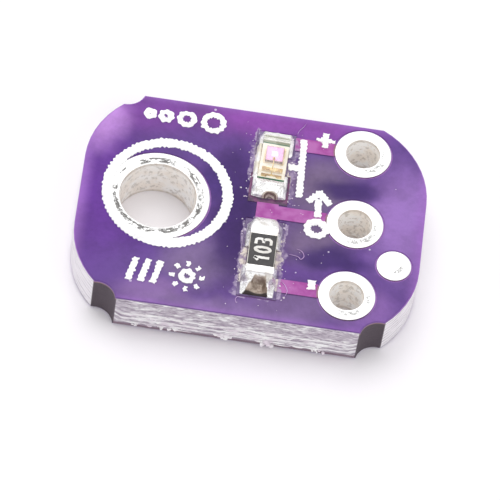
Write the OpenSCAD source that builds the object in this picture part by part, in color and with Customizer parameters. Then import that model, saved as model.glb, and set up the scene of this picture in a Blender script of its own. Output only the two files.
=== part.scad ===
// Light sensor module: a small two-sided circuit board that carries a chip photosensor
// and its load resistor, with three plated header holes and one plated mounting hole.
// Units are millimetres. +Z is up, the origin is under the middle of the board on the
// surface that it lies on, +X runs towards the header row, and +Y from ground to supply.

/* [Board] */
// Thickness of the bare glass-fibre laminate
core_t = 1.30; // [0.8:0.05:2.0]
// Distance from the header row to the mounting hole
row_to_hole = 5.834; // [4.6:0.01:8]
// Distance from the header row to the end of the board beside it
header_edge = 2.03; // [1.6:0.01:4]
// Distance from the mounting hole to the end of the board beside it
hole_edge = 2.296; // [1.8:0.01:4]
// Width of mask left between a header pad and the long edge
side_margin = 0.27; // [0.05:0.01:1]
// Offset of the copper artwork from the middle of the board, across it
artwork_shift = 0.11; // [0:0.01:0.15]
// Radius of the routed corners
corner_r = 2.74; // [1.5:0.01:3.4]
// How much of the routed corner the scored edge cuts away
corner_cut = 0.30; // [0.1:0.01:0.6]
// Radius of the cutter that leaves a notch where a corner meets a scored edge
notch_r = 0.58; // [0.3:0.01:0.8]
// Distance from the end of the scored edge to the middle of the notch, along the edge
notch_shift = 0.56; // [0.3:0.01:0.8]
// Distance of the middle of a near notch outside the scored edge
notch_out = 0.10; // [0.02:0.01:0.3]
// Distance of the middle of the shallower far notch outside the scored edge
far_notch_out = 0.18; // [0.1:0.01:0.3]
// Depth of the scored groove on each face
score_depth = 0.46; // [0.1:0.01:0.5]
// Full angle of the scored groove
score_angle = 30; // [20:1:45]

/* [Layers] */
// Thickness of the copper foil and of the plating in the holes
copper_t = 0.035; // [0.018:0.001:0.07]
// Thickness of the tin coat on bare copper
tin_t = 0.025; // [0.01:0.001:0.04]
// Thickness of the solder mask
mask_t = 0.025; // [0.015:0.001:0.04]
// Thickness of the white print
print_t = 0.02; // [0.01:0.001:0.03]
// Width of bare rim that the mask leaves along the edge of the board
mask_rim = 0.03; // [0:0.01:0.1]
// Gap between a pad and the mask around it
mask_gap = 0.05; // [0.02:0.01:0.1]
// Distance that the mask runs down beside a raised track
mask_flank = 0.03; // [0.02:0.01:0.06]

/* [Header holes] */
// Distance between neighbouring header holes
pin_pitch = 2.54; // [2.1:0.01:3.2]
// Diameter of the finished header hole
pin_hole_d = 1.00; // [0.8:0.01:1.2]
// Outer diameter of the header pad
pin_pad_d = 1.68; // [1.4:0.01:2.0]

/* [Mounting hole] */
// Diameter of the finished mounting hole
mount_hole_d = 2.25; // [1.8:0.01:2.7]
// Width of the tinned ring around the mounting hole
mount_ring_w = 0.40; // [0.2:0.01:0.5]

/* [Tracks] */
// Width of the tracks
track_w = 0.40; // [0.2:0.01:0.6]
// Width of the copper that joins the sensor to the resistor
link_w = 0.58; // [0.3:0.01:0.8]
// Distance from the column of chip parts to the header row
part_to_header = 2.61; // [2.1:0.01:3.2]
// Distance between the middles of the two lands of a chip part
land_pitch = 1.70; // [1.4:0.01:2.1]
// Distance from the middle of the column of chip parts to its outermost lands
land_reach = 2.54; // [2.3:0.01:2.8]
// Width of a land
land_w = 1.06; // [0.9:0.01:1.3]
// Length of a land
land_l = 1.00; // [0.8:0.01:1.2]
// Length that the sensor's far land is shorter by, at its outer end
far_trim = 0.20; // [0:0.01:0.25]
// Diameter of the bare alignment dot
dot_d = 1.02; // [0.8:0.01:1.3]

/* [Print] */
// Width of mask between the tinned ring and the printed ring, before the print slipped
ring_gap = 0.105; // [0.05:0.005:0.4]
// Width of the line of the printed ring
ring_w = 0.30; // [0.2:0.01:0.4]
// Distance that the print has slipped along the board
print_slip_x = 0.26; // [0:0.01:0.35]
// Distance that the print has slipped across the board
print_slip_y = 0.16; // [0:0.01:0.3]
// Width of the printed line beside the sensor
line_w = 0.20; // [0.15:0.01:0.3]
// Distance from the middle of the sensor to the printed line beside it
line_x = 0.85; // [0.7:0.01:1.1]
// Length of the printed line beside the sensor
line_l = 2.05; // [1.5:0.01:2.6]

/* [Light sensor] */
// Length of the sensor
sensor_l = 1.70; // [1.4:0.01:2.1]
// Width of the sensor
sensor_w = 0.80; // [0.6:0.01:1.0]
// Height of the sensor
sensor_h = 0.60; // [0.5:0.01:0.8]
// Thickness of the carrier under the clear resin
carrier_t = 0.24; // [0.18:0.01:0.3]
// Length of the clear resin block
resin_l = 1.30; // [1.1:0.01:1.5]
// Thickness of the plating and of the gold on the carrier
plating_t = 0.02; // [0.01:0.001:0.03]
// Width of the green mask strip at each end of the resin
strip_w = 0.06; // [0.03:0.01:0.09]
// Radius of the half-round cut in each end of the carrier
end_cut_r = 0.15; // [0.1:0.01:0.2]
// Length of a terminal under the carrier
foot_l = 0.35; // [0.25:0.01:0.4]
// Side of the square light-sensing chip
chip_w = 0.50; // [0.4:0.01:0.56]
// Height of the light-sensing chip
chip_h = 0.15; // [0.1:0.01:0.2]
// Distance of the chip from the middle of the resin, away from the wire
chip_shift = 0.08; // [0.04:0.01:0.24]
// Diameter of the bond wire
wire_d = 0.03; // [0.02:0.001:0.04]
// Radius of the wire's arch, as a share of the distance between its ends
wire_bend = 0.57; // [0.55:0.01:0.7]
// Diameter of the ball that ends the wire on the chip
ball_d = 0.08; // [0.06:0.01:0.1]
// Distance that the sensor has slipped on its lands, toward the resistor
sensor_slip = 0.03; // [0:0.01:0.06]
// Angle that the sensor has turned on its solder
sensor_skew = 1.9; // [0:0.1:3]

/* [Resistor] */
// Length of the resistor
resistor_l = 1.60; // [1.3:0.01:2.0]
// Width of the resistor
resistor_w = 0.80; // [0.6:0.01:1.0]
// Height of the resistor
resistor_h = 0.45; // [0.3:0.01:0.6]
// Thickness of the metal that wraps each end
wrap_t = 0.03; // [0.02:0.001:0.04]
// Length of the metal wrap along the top and bottom
wrap_l = 0.25; // [0.18:0.01:0.35]
// Width of the resistive film
film_w = 0.55; // [0.4:0.01:0.58]
// Thickness of the resistive film
film_t = 0.012; // [0.008:0.001:0.014]
// Thickness of the black glaze over the film
glaze_t = 0.035; // [0.025:0.001:0.045]
// Width of ceramic left bare on each side of the glaze
glaze_rim = 0.02; // [0.01:0.01:0.04]

/* [Solder] */
// Thickness of solder between a land and the part on it
solder_gap = 0.03; // [0.02:0.005:0.05]
// Thickness of solder at the outer end of a land
solder_toe = 0.02; // [0.01:0.005:0.03]
// Height that the solder climbs up the end of the sensor
sensor_climb = 0.20; // [0.1:0.01:0.24]
// Height that the solder climbs up the near end of the resistor
resistor_climb = 0.38; // [0.2:0.01:0.44]
// Height that the rounded solder stands at the far end of the resistor
bulge_climb = 0.42; // [0.2:0.01:0.5]
// Margin of land left bare around the solder
solder_rim = 0.04; // [0.02:0.01:0.08]

/* [Hidden] */
$fn = 96;
CUT = 0.5;
SLICES = 14;

board_l = header_edge + row_to_hole + hole_edge;
board_w = 2*(pin_pitch + pin_pad_d/2 + side_margin);
score_set = score_depth*tan(score_angle/2);
web_w = board_w + 2*score_set;
corner_x = board_l/2 - corner_r;
corner_y = board_w/2 + corner_cut - corner_r;
notch_x = corner_x + sqrt(2*corner_r*corner_cut - corner_cut*corner_cut) + notch_shift;
near_notch_y = -board_w/2 - notch_out;
far_notch_y = board_w/2 + far_notch_out;

header_x = board_l/2 - header_edge;
hole_x = -board_l/2 + hole_edge;
grid_y = artwork_shift;
part_x = header_x - part_to_header;
supply_y = grid_y + pin_pitch;
ground_y = grid_y - pin_pitch;
sensor_y = grid_y + land_reach - land_pitch/2;
resistor_y = grid_y - land_reach + land_pitch/2;
dot_x = header_x + pin_pitch/2;
dot_y = grid_y - pin_pitch/2;

pin_r = pin_hole_d/2;
pad_r = pin_pad_d/2;
mount_r = mount_hole_d/2;
mount_pad_r = mount_r + mount_ring_w;
bore_wall = tin_t + copper_t;

core_z = copper_t + tin_t;
face_z = core_z + core_t;
copper_z = face_z + copper_t;
tin_z = copper_z + tin_t;
mask_z = face_z + mask_t;
part_z = copper_z + solder_gap;

terminal_top_l = (sensor_l - resin_l)/2 - strip_w;
chip_base = carrier_t;
die_pad_l = chip_w + 0.08;
wire_pad_l = 0.20;
wire_pad_y = -resin_l/2 + 0.11 + wire_pad_l/2;
ball_y = chip_shift - chip_w/2 + ball_d;
ball_h = wire_d;
stitch_y = wire_pad_y + wire_pad_l/4;
stitch_h = wire_d/2;

// A rectangle with rounded corners, its middle at the origin
module rounded_rect(w, l, r) {
    square([w - 2*r, l], center = true);
    square([w, l - 2*r], center = true);
    for (sx = [-1, 1], sy = [-1, 1])
        translate([sx*(w/2 - r), sy*(l/2 - r)]) circle(r);
}

// The routed board before its long edges are snapped off
module routed_blank(inset) {
    square([board_l - 2*inset, 2*corner_y], center = true);
    square([2*corner_x, 2*(corner_y + corner_r - inset)], center = true);
    for (sx = [-1, 1], sy = [-1, 1])
        translate([sx*corner_x, sy*corner_y]) circle(corner_r - inset);
}

// Plan of the board out to a given width, pulled in by inset
module board_plan(w, inset = 0) {
    difference() {
        intersection() {
            routed_blank(inset);
            square([board_l, w - 2*inset], center = true);
        }
        for (at = [[-notch_x, near_notch_y], [notch_x, near_notch_y], [-notch_x, far_notch_y]])
            translate(at) circle(notch_r + inset);
    }
}

// Places a child at each header hole
module at_header_holes() {
    for (y = [supply_y, grid_y, ground_y]) translate([header_x, y]) children();
}

// Section of the board across its length, with the scored grooves in its long edges
module scored_section() {
    half = board_w/2;
    polygon([
        [-half, core_z], [half, core_z],
        [half + score_set, core_z + score_depth], [half + score_set, face_z - score_depth],
        [half, face_z], [-half, face_z],
        [-half - score_set, face_z - score_depth], [-half - score_set, core_z + score_depth]
    ]);
}

module laminate() {
    color([0.86, 0.84, 0.82])
    difference() {
        intersection() {
            translate([0, 0, core_z]) linear_extrude(core_t) board_plan(web_w);
            rotate([90, 0, 90]) linear_extrude(board_l + 2*CUT, center = true) scored_section();
        }
        at_header_holes() cylinder(r = pin_r + bore_wall, h = 3*core_t);
        translate([hole_x, grid_y]) cylinder(r = mount_r + bore_wall, h = 3*core_t);
    }
}

// Land of a chip part, grown by g on every side and trimmed at its far end
module land(y, g, trim = 0) {
    translate([part_x, y - trim/2]) square([land_w + 2*g, land_l - trim + 2*g], center = true);
}

// Track from the column of chip parts to a header hole
module track(y, g) {
    translate([part_x - g, y - track_w/2 - g]) square([part_to_header + g, track_w + 2*g]);
}

module supply_plan(g = 0) {
    land(grid_y + land_reach, g, far_trim);
    track(supply_y, g);
    translate([header_x, supply_y]) circle(pad_r + g);
}

module output_plan(g = 0) {
    land(sensor_y - land_pitch/2, g);
    land(resistor_y + land_pitch/2, g);
    translate([part_x - link_w/2 - g, resistor_y + land_pitch/2])
        square([link_w + 2*g, sensor_y - resistor_y - land_pitch]);
    track(grid_y, g);
    translate([header_x, grid_y]) circle(pad_r + g);
}

module ground_plan(g = 0) {
    land(grid_y - land_reach, g);
    track(ground_y, g);
    translate([header_x, ground_y]) circle(pad_r + g);
}

module all_nets_plan(g = 0) {
    supply_plan(g);
    output_plan(g);
    ground_plan(g);
}

// Openings in the top mask over everything that is soldered or bare, grown by g
module top_openings(g = 0) {
    gap = mask_gap + g;
    at_header_holes() circle(pad_r + gap);
    translate([hole_x, grid_y]) circle(mount_pad_r + gap);
    translate([dot_x, dot_y]) circle(dot_d/2 + gap);
    land(grid_y + land_reach, gap, far_trim);
    for (y = [sensor_y - land_pitch/2, resistor_y + land_pitch/2, grid_y - land_reach])
        land(y, gap);
}

// The mask lies on the laminate and climbs over the tracks
module top_mask() {
    color([0.36, 0.17, 0.56])
    difference() {
        translate([0, 0, face_z]) union() {
            linear_extrude(mask_t) board_plan(board_w, mask_rim);
            linear_extrude(copper_t + mask_t) intersection() {
                all_nets_plan(mask_flank);
                board_plan(board_w, mask_rim);
            }
        }
        translate([0, 0, face_z - CUT]) linear_extrude(CUT + copper_t) all_nets_plan();
        translate([0, 0, face_z - CUT]) linear_extrude(3*CUT) top_openings();
    }
}

module bottom_mask() {
    color([0.36, 0.17, 0.56])
    difference() {
        translate([0, 0, core_z - mask_t]) linear_extrude(mask_t) board_plan(board_w, mask_rim);
        translate([0, 0, -CUT]) linear_extrude(3*CUT) {
            at_header_holes() circle(pad_r + mask_gap);
            translate([hole_x, grid_y]) circle(mount_pad_r + mask_gap);
        }
    }
}

// Copper of a plated hole: the ring on the underside and the tube, up to the top ring
module copper_barrel(r, ring_r) {
    rotate_extrude() polygon([
        [r + tin_t, tin_t], [ring_r, tin_t], [ring_r, core_z], [r + bore_wall, core_z],
        [r + bore_wall, face_z], [ring_r, face_z], [ring_r, copper_z], [r + tin_t, copper_z]
    ]);
}

module net_copper(y) {
    color([0.78, 0.45, 0.25]) union() {
        difference() {
            translate([0, 0, face_z]) linear_extrude(copper_t) children();
            translate([header_x, y]) cylinder(r = pin_r + bore_wall, h = 3*core_t);
        }
        translate([header_x, y]) copper_barrel(pin_r, pad_r);
    }
}

module copper_supply() net_copper(supply_y) supply_plan();
module copper_output() net_copper(grid_y) output_plan();
module copper_ground() net_copper(ground_y) ground_plan();

module copper_mounting() {
    color([0.78, 0.45, 0.25]) translate([hole_x, grid_y]) copper_barrel(mount_r, mount_pad_r);
}

module copper_dot() {
    color([0.78, 0.45, 0.25]) translate([dot_x, dot_y, face_z]) cylinder(d = dot_d, h = copper_t);
}

// Tin coat of a plated hole: it lines the tube and covers both rings
module tin_barrel(r, ring_r) {
    soft = tin_t*0.6;
    color([0.82, 0.82, 0.80]) rotate_extrude() polygon([
        [r, soft], [r + soft, 0], [ring_r - soft, 0], [ring_r, soft], [ring_r, tin_t],
        [r + tin_t, tin_t], [r + tin_t, copper_z], [ring_r, copper_z],
        [ring_r, tin_z - soft], [ring_r - soft, tin_z], [r + soft, tin_z], [r, tin_z - soft]
    ]);
}

module barrel_supply() translate([header_x, supply_y]) tin_barrel(pin_r, pad_r);
module barrel_output() translate([header_x, grid_y]) tin_barrel(pin_r, pad_r);
module barrel_ground() translate([header_x, ground_y]) tin_barrel(pin_r, pad_r);
module barrel_mounting() translate([hole_x, grid_y]) tin_barrel(mount_r, mount_pad_r);

module dot_tin() {
    soft = tin_t*0.6;
    color([0.82, 0.82, 0.80]) translate([dot_x, dot_y, copper_z]) {
        cylinder(d = dot_d, h = tin_t - soft);
        translate([0, 0, tin_t - soft]) cylinder(d1 = dot_d, d2 = dot_d - 2*soft, h = soft);
    }
}

// White print of a plan on the mask, stepping up where a track lies under it
module printed() {
    color([0.95, 0.95, 0.94])
    difference() {
        translate([0, 0, mask_z]) union() {
            linear_extrude(print_t) difference() {
                children();
                top_openings(mask_gap);
            }
            linear_extrude(copper_t + print_t) intersection() {
                difference() {
                    children();
                    top_openings(mask_gap);
                }
                all_nets_plan(mask_flank + print_t);
            }
        }
        translate([0, 0, mask_z - CUT]) linear_extrude(CUT + copper_t) all_nets_plan(mask_flank);
    }
}

module hole_ring_print() {
    printed() translate([hole_x + print_slip_x, grid_y + print_slip_y]) difference() {
        circle(mount_pad_r + ring_gap + ring_w);
        circle(mount_pad_r + ring_gap);
    }
}

// A line beside the sensor, with a stub that points at the middle of it
module sensor_line_print() {
    stub_l = line_x - sensor_w/2 - mask_gap;
    printed() translate([part_x + line_x, sensor_y]) {
        rounded_rect(line_w, line_l, line_w/4);
        translate([-stub_l, -line_w/2]) square([stub_l, line_w]);
    }
}

// Places children at the sensor, in its own frame: its underside at z 0, its far end at +Y
module at_sensor() {
    translate([part_x, sensor_y - sensor_slip, part_z]) rotate([0, 0, -sensor_skew]) children();
}

// Places children at the resistor, in its own frame
module at_resistor() {
    translate([part_x, resistor_y, part_z]) children();
}

// Half-round cuts in both ends of the carrier
module end_cuts(r) {
    for (s = [-1, 1]) translate([0, s*sensor_l/2, -CUT]) cylinder(r = r, h = 3*CUT);
}

module carrier_block() {
    difference() {
        translate([-sensor_w/2, -sensor_l/2 + plating_t, plating_t])
            cube([sensor_w, sensor_l - 2*plating_t, carrier_t - 2*plating_t]);
        end_cuts(end_cut_r + plating_t);
    }
}

module sensor_carrier() {
    color([0.93, 0.92, 0.88]) at_sensor() carrier_block();
}

// Metal that wraps one end of the carrier, s = 1 far and -1 near
module sensor_terminal(s) {
    color([0.85, 0.84, 0.80]) at_sensor() difference() {
        union() {
            translate([-sensor_w/2, s > 0 ? sensor_l/2 - terminal_top_l : -sensor_l/2, plating_t])
                cube([sensor_w, terminal_top_l, carrier_t - plating_t]);
            translate([-sensor_w/2, s > 0 ? sensor_l/2 - foot_l : -sensor_l/2, 0])
                cube([sensor_w, foot_l, carrier_t/2]);
        }
        carrier_block();
        end_cuts(end_cut_r);
    }
}

module sensor_far_terminal() sensor_terminal(1);
module sensor_near_terminal() sensor_terminal(-1);

module sensor_strip(s) {
    color([0.10, 0.40, 0.25]) at_sensor()
        translate([-sensor_w/2, s > 0 ? resin_l/2 : -resin_l/2 - strip_w, carrier_t - plating_t])
            cube([sensor_w, strip_w, plating_t]);
}

module sensor_far_strip() sensor_strip(1);
module sensor_near_strip() sensor_strip(-1);

module chip_pad_block() {
    translate([-die_pad_l/2, chip_shift - die_pad_l/2, carrier_t - plating_t])
        cube([die_pad_l, die_pad_l, plating_t]);
}

module chip_pad() {
    color([0.95, 0.78, 0.35]) at_sensor() chip_pad_block();
}

// Two-legged gold pad that the bond wire lands on
module wire_pad_block() {
    translate([-die_pad_l/2, wire_pad_y, carrier_t - plating_t])
        cube([die_pad_l, wire_pad_l/2, plating_t]);
    for (x = [-die_pad_l/2, die_pad_l/2 - 0.15])
        translate([x, wire_pad_y - wire_pad_l/2, carrier_t - plating_t])
            cube([0.15, wire_pad_l/2, plating_t]);
}

module wire_pad() {
    color([0.95, 0.78, 0.35]) at_sensor() wire_pad_block();
}

module chip_block() {
    translate([-chip_w/2, chip_shift - chip_w/2, chip_base]) cube([chip_w, chip_w, chip_h]);
}

module sensing_chip() {
    color([0.95, 0.72, 0.88]) at_sensor() chip_block();
}

// Bond wire: an arch between the flat stitch on the pad and the flattened ball on the chip
module wire_path() {
    from = [stitch_y, chip_base + stitch_h/2];
    to = [ball_y, chip_base + chip_h + ball_h/2];
    span = norm(to - from);
    slope = atan2(to[1] - from[1], to[0] - from[0]);
    arch_r = span*wire_bend;
    half_angle = asin(span/2/arch_r);
    drop = arch_r*cos(half_angle);
    middle = (from + to)/2 + drop*[sin(slope), -cos(slope)];
    translate([0, middle[0], middle[1]]) rotate([90, 0, 90])
        rotate([0, 0, 90 + slope - half_angle]) rotate_extrude(angle = 2*half_angle)
            translate([arch_r, 0]) circle(d = wire_d, $fn = 24);
    translate([0, stitch_y, chip_base]) cylinder(d = ball_d, h = stitch_h);
    translate([0, ball_y, chip_base + chip_h]) cylinder(d = ball_d, h = ball_h);
}

module bond_wire() {
    color([0.95, 0.80, 0.40]) at_sensor() wire_path();
}

module clear_resin() {
    color([0.92, 0.90, 0.86, 0.5]) at_sensor() difference() {
        translate([-sensor_w/2, -resin_l/2, carrier_t - plating_t])
            cube([sensor_w, resin_l, sensor_h - carrier_t + plating_t]);
        chip_pad_block();
        wire_pad_block();
        chip_block();
        wire_path();
    }
}

module resistor_core() {
    translate([-resistor_w/2, -resistor_l/2 + wrap_t, wrap_t])
        cube([resistor_w, resistor_l - 2*wrap_t, resistor_h - 2*wrap_t]);
}

module resistor_body() {
    color([0.93, 0.92, 0.89]) at_resistor() resistor_core();
}

module film_block() {
    translate([-film_w/2, -resistor_l/2 + wrap_l, resistor_h - wrap_t])
        cube([film_w, resistor_l - 2*wrap_l, film_t]);
}

module resistor_film() {
    color([0.25, 0.23, 0.22]) at_resistor() film_block();
}

module resistor_glaze() {
    color([0.12, 0.12, 0.12]) at_resistor() difference() {
        translate([-resistor_w/2 + glaze_rim, -resistor_l/2 + wrap_l, resistor_h - wrap_t])
            cube([resistor_w - 2*glaze_rim, resistor_l - 2*wrap_l, glaze_t]);
        film_block();
    }
}

// Metal cap that wraps one end of the resistor, s = 1 far and -1 near
module resistor_terminal(s) {
    color([0.85, 0.84, 0.80]) at_resistor() difference() {
        translate([-resistor_w/2, s > 0 ? resistor_l/2 - wrap_l : -resistor_l/2, 0])
            cube([resistor_w, wrap_l, resistor_h]);
        resistor_core();
    }
}

module resistor_far_terminal() resistor_terminal(1);
module resistor_near_terminal() resistor_terminal(-1);

// Points of the solder's free surface, from its toe up to the end of the part.
// A power over 1 is a hollow meniscus, and one under 1 a rounded heap.
function solder_curve(toe_y, end_y, toe_z, top_z, power) = [
    for (i = [0:SLICES]) let (s = i/SLICES)
        [toe_y + (end_y - toe_y)*s, toe_z + (top_z - toe_z)*pow(s, power)]
];

// Solder between a land and one end of a part, in the part's frame, at its +Y end
module solder_joint(part_l, part_w, climb, power, trim = 0) {
    heel_y = land_pitch/2 - land_l/2 + solder_rim;
    toe_y = land_pitch/2 + land_l/2 - trim - solder_rim;
    end_y = part_l/2;
    base_w = land_w - 2*solder_rim;
    top_z = solder_gap + climb;
    intersection() {
        rotate([90, 0, 90]) linear_extrude(base_w, center = true) polygon(concat(
            [[heel_y, 0], [toe_y, 0]],
            solder_curve(toe_y, end_y, solder_toe, top_z, power),
            [[end_y, solder_gap], [heel_y, solder_gap]]
        ));
        rotate([90, 0, 0]) linear_extrude(4*part_l, center = true) polygon([
            [-base_w/2, -CUT], [base_w/2, -CUT], [base_w/2, solder_toe],
            [part_w/2, top_z], [-part_w/2, top_z], [-base_w/2, solder_toe]
        ]);
        translate([0, (heel_y + toe_y)/2, -CUT]) linear_extrude(3*CUT)
            rounded_rect(base_w, toe_y - heel_y, solder_rim*3);
    }
}

module sensor_solder(s) {
    color([0.80, 0.80, 0.78]) translate([part_x, sensor_y - sensor_slip, copper_z])
        rotate([0, 0, -sensor_skew]) mirror([0, s > 0 ? 0 : 1, 0])
            solder_joint(sensor_l, sensor_w, sensor_climb, 2.2, s > 0 ? far_trim : 0);
}

module sensor_far_solder() sensor_solder(1);
module sensor_near_solder() sensor_solder(-1);

module resistor_far_solder() {
    color([0.80, 0.80, 0.78]) translate([part_x, resistor_y, copper_z])
        solder_joint(resistor_l, resistor_w, bulge_climb, 0.45);
}

module resistor_near_solder() {
    color([0.80, 0.80, 0.78]) translate([part_x, resistor_y, copper_z]) mirror([0, 1, 0])
        solder_joint(resistor_l, resistor_w, resistor_climb, 1.8);
}

laminate();
top_mask();
bottom_mask();
copper_supply();
copper_output();
copper_ground();
copper_mounting();
copper_dot();
barrel_supply();
barrel_output();
barrel_ground();
barrel_mounting();
dot_tin();
hole_ring_print();
sensor_line_print();
sensor_carrier();
sensor_far_terminal();
sensor_near_terminal();
sensor_far_strip();
sensor_near_strip();
chip_pad();
wire_pad();
sensing_chip();
bond_wire();
clear_resin();
resistor_body();
resistor_film();
resistor_glaze();
resistor_far_terminal();
resistor_near_terminal();
sensor_far_solder();
sensor_near_solder();
resistor_far_solder();
resistor_near_solder();
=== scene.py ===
"""Looks of a light sensor module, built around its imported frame.

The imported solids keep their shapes. This script gives each of them its finish and adds what the
solids leave out: the ragged edge of the print, the rounded tin, the clear resin, the soft solder,
the flux that dried round the parts and the torn fibres on the snapped edges.
"""

import logging
import math
import random
from dataclasses import dataclass, field, replace
from enum import Enum
from typing import Callable, ClassVar, Optional, Sequence

import bmesh
import bpy
from mathutils import Matrix, Vector, noise


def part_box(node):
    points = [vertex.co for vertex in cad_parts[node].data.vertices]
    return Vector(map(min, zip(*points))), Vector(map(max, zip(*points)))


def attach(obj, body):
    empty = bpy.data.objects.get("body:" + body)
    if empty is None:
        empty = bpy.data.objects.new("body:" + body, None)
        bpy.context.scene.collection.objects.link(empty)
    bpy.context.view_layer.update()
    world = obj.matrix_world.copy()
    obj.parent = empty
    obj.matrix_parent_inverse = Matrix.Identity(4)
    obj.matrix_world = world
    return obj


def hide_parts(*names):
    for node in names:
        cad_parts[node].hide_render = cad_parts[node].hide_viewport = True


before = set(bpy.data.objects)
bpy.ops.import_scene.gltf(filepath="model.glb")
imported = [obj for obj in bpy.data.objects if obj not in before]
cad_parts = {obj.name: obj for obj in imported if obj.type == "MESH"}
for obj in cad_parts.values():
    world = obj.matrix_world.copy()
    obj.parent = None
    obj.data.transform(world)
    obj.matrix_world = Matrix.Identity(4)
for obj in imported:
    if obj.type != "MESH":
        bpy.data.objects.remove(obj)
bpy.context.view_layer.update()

LOG = logging.getLogger("light_sensor_module")
MM = 0.001
ROOT = "root"
PRINT_STEP = 0.035
SENSOR_LEAN = math.tan(math.radians(2.0))
Colour = tuple[float, float, float, float]
BMesh = bmesh.types.BMesh
Material = bpy.types.Material
Socket = bpy.types.NodeSocket


def shade(code: str) -> Colour:
    """Turns a screen colour into the linear colour that a shader takes.

    Args:
        code: Six hexadecimal digits after a hash.

    Returns:
        Linear red, green and blue with an alpha of one.
    """
    parts = [int(code[i:i + 2], 16) / 255 for i in (1, 3, 5)]
    linear = [p / 12.92 if p <= 0.04045 else ((p + 0.055) / 1.055) ** 2.4 for p in parts]
    return (linear[0], linear[1], linear[2], 1.0)


def linked(name: str, data: bpy.types.ID) -> bpy.types.Object:
    """Makes an object and puts it in the scene.

    Args:
        name: Name of the object.
        data: Its mesh, camera or light.

    Returns:
        The object.
    """
    made = bpy.data.objects.new(name, data)
    bpy.context.scene.collection.objects.link(made)
    return made


class Place:
    """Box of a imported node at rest, in millimetres."""

    def __init__(self, node: str) -> None:
        """Reads the box.

        Args:
            node: Name of the node.
        """
        low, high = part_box(node)
        self.low = Vector(low) / MM
        self.high = Vector(high) / MM

    @property
    def middle(self) -> Vector:
        """Returns the middle of the box."""
        return (self.low + self.high) / 2

    @property
    def size(self) -> Vector:
        """Returns the box's length along each axis."""
        return self.high - self.low


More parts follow.
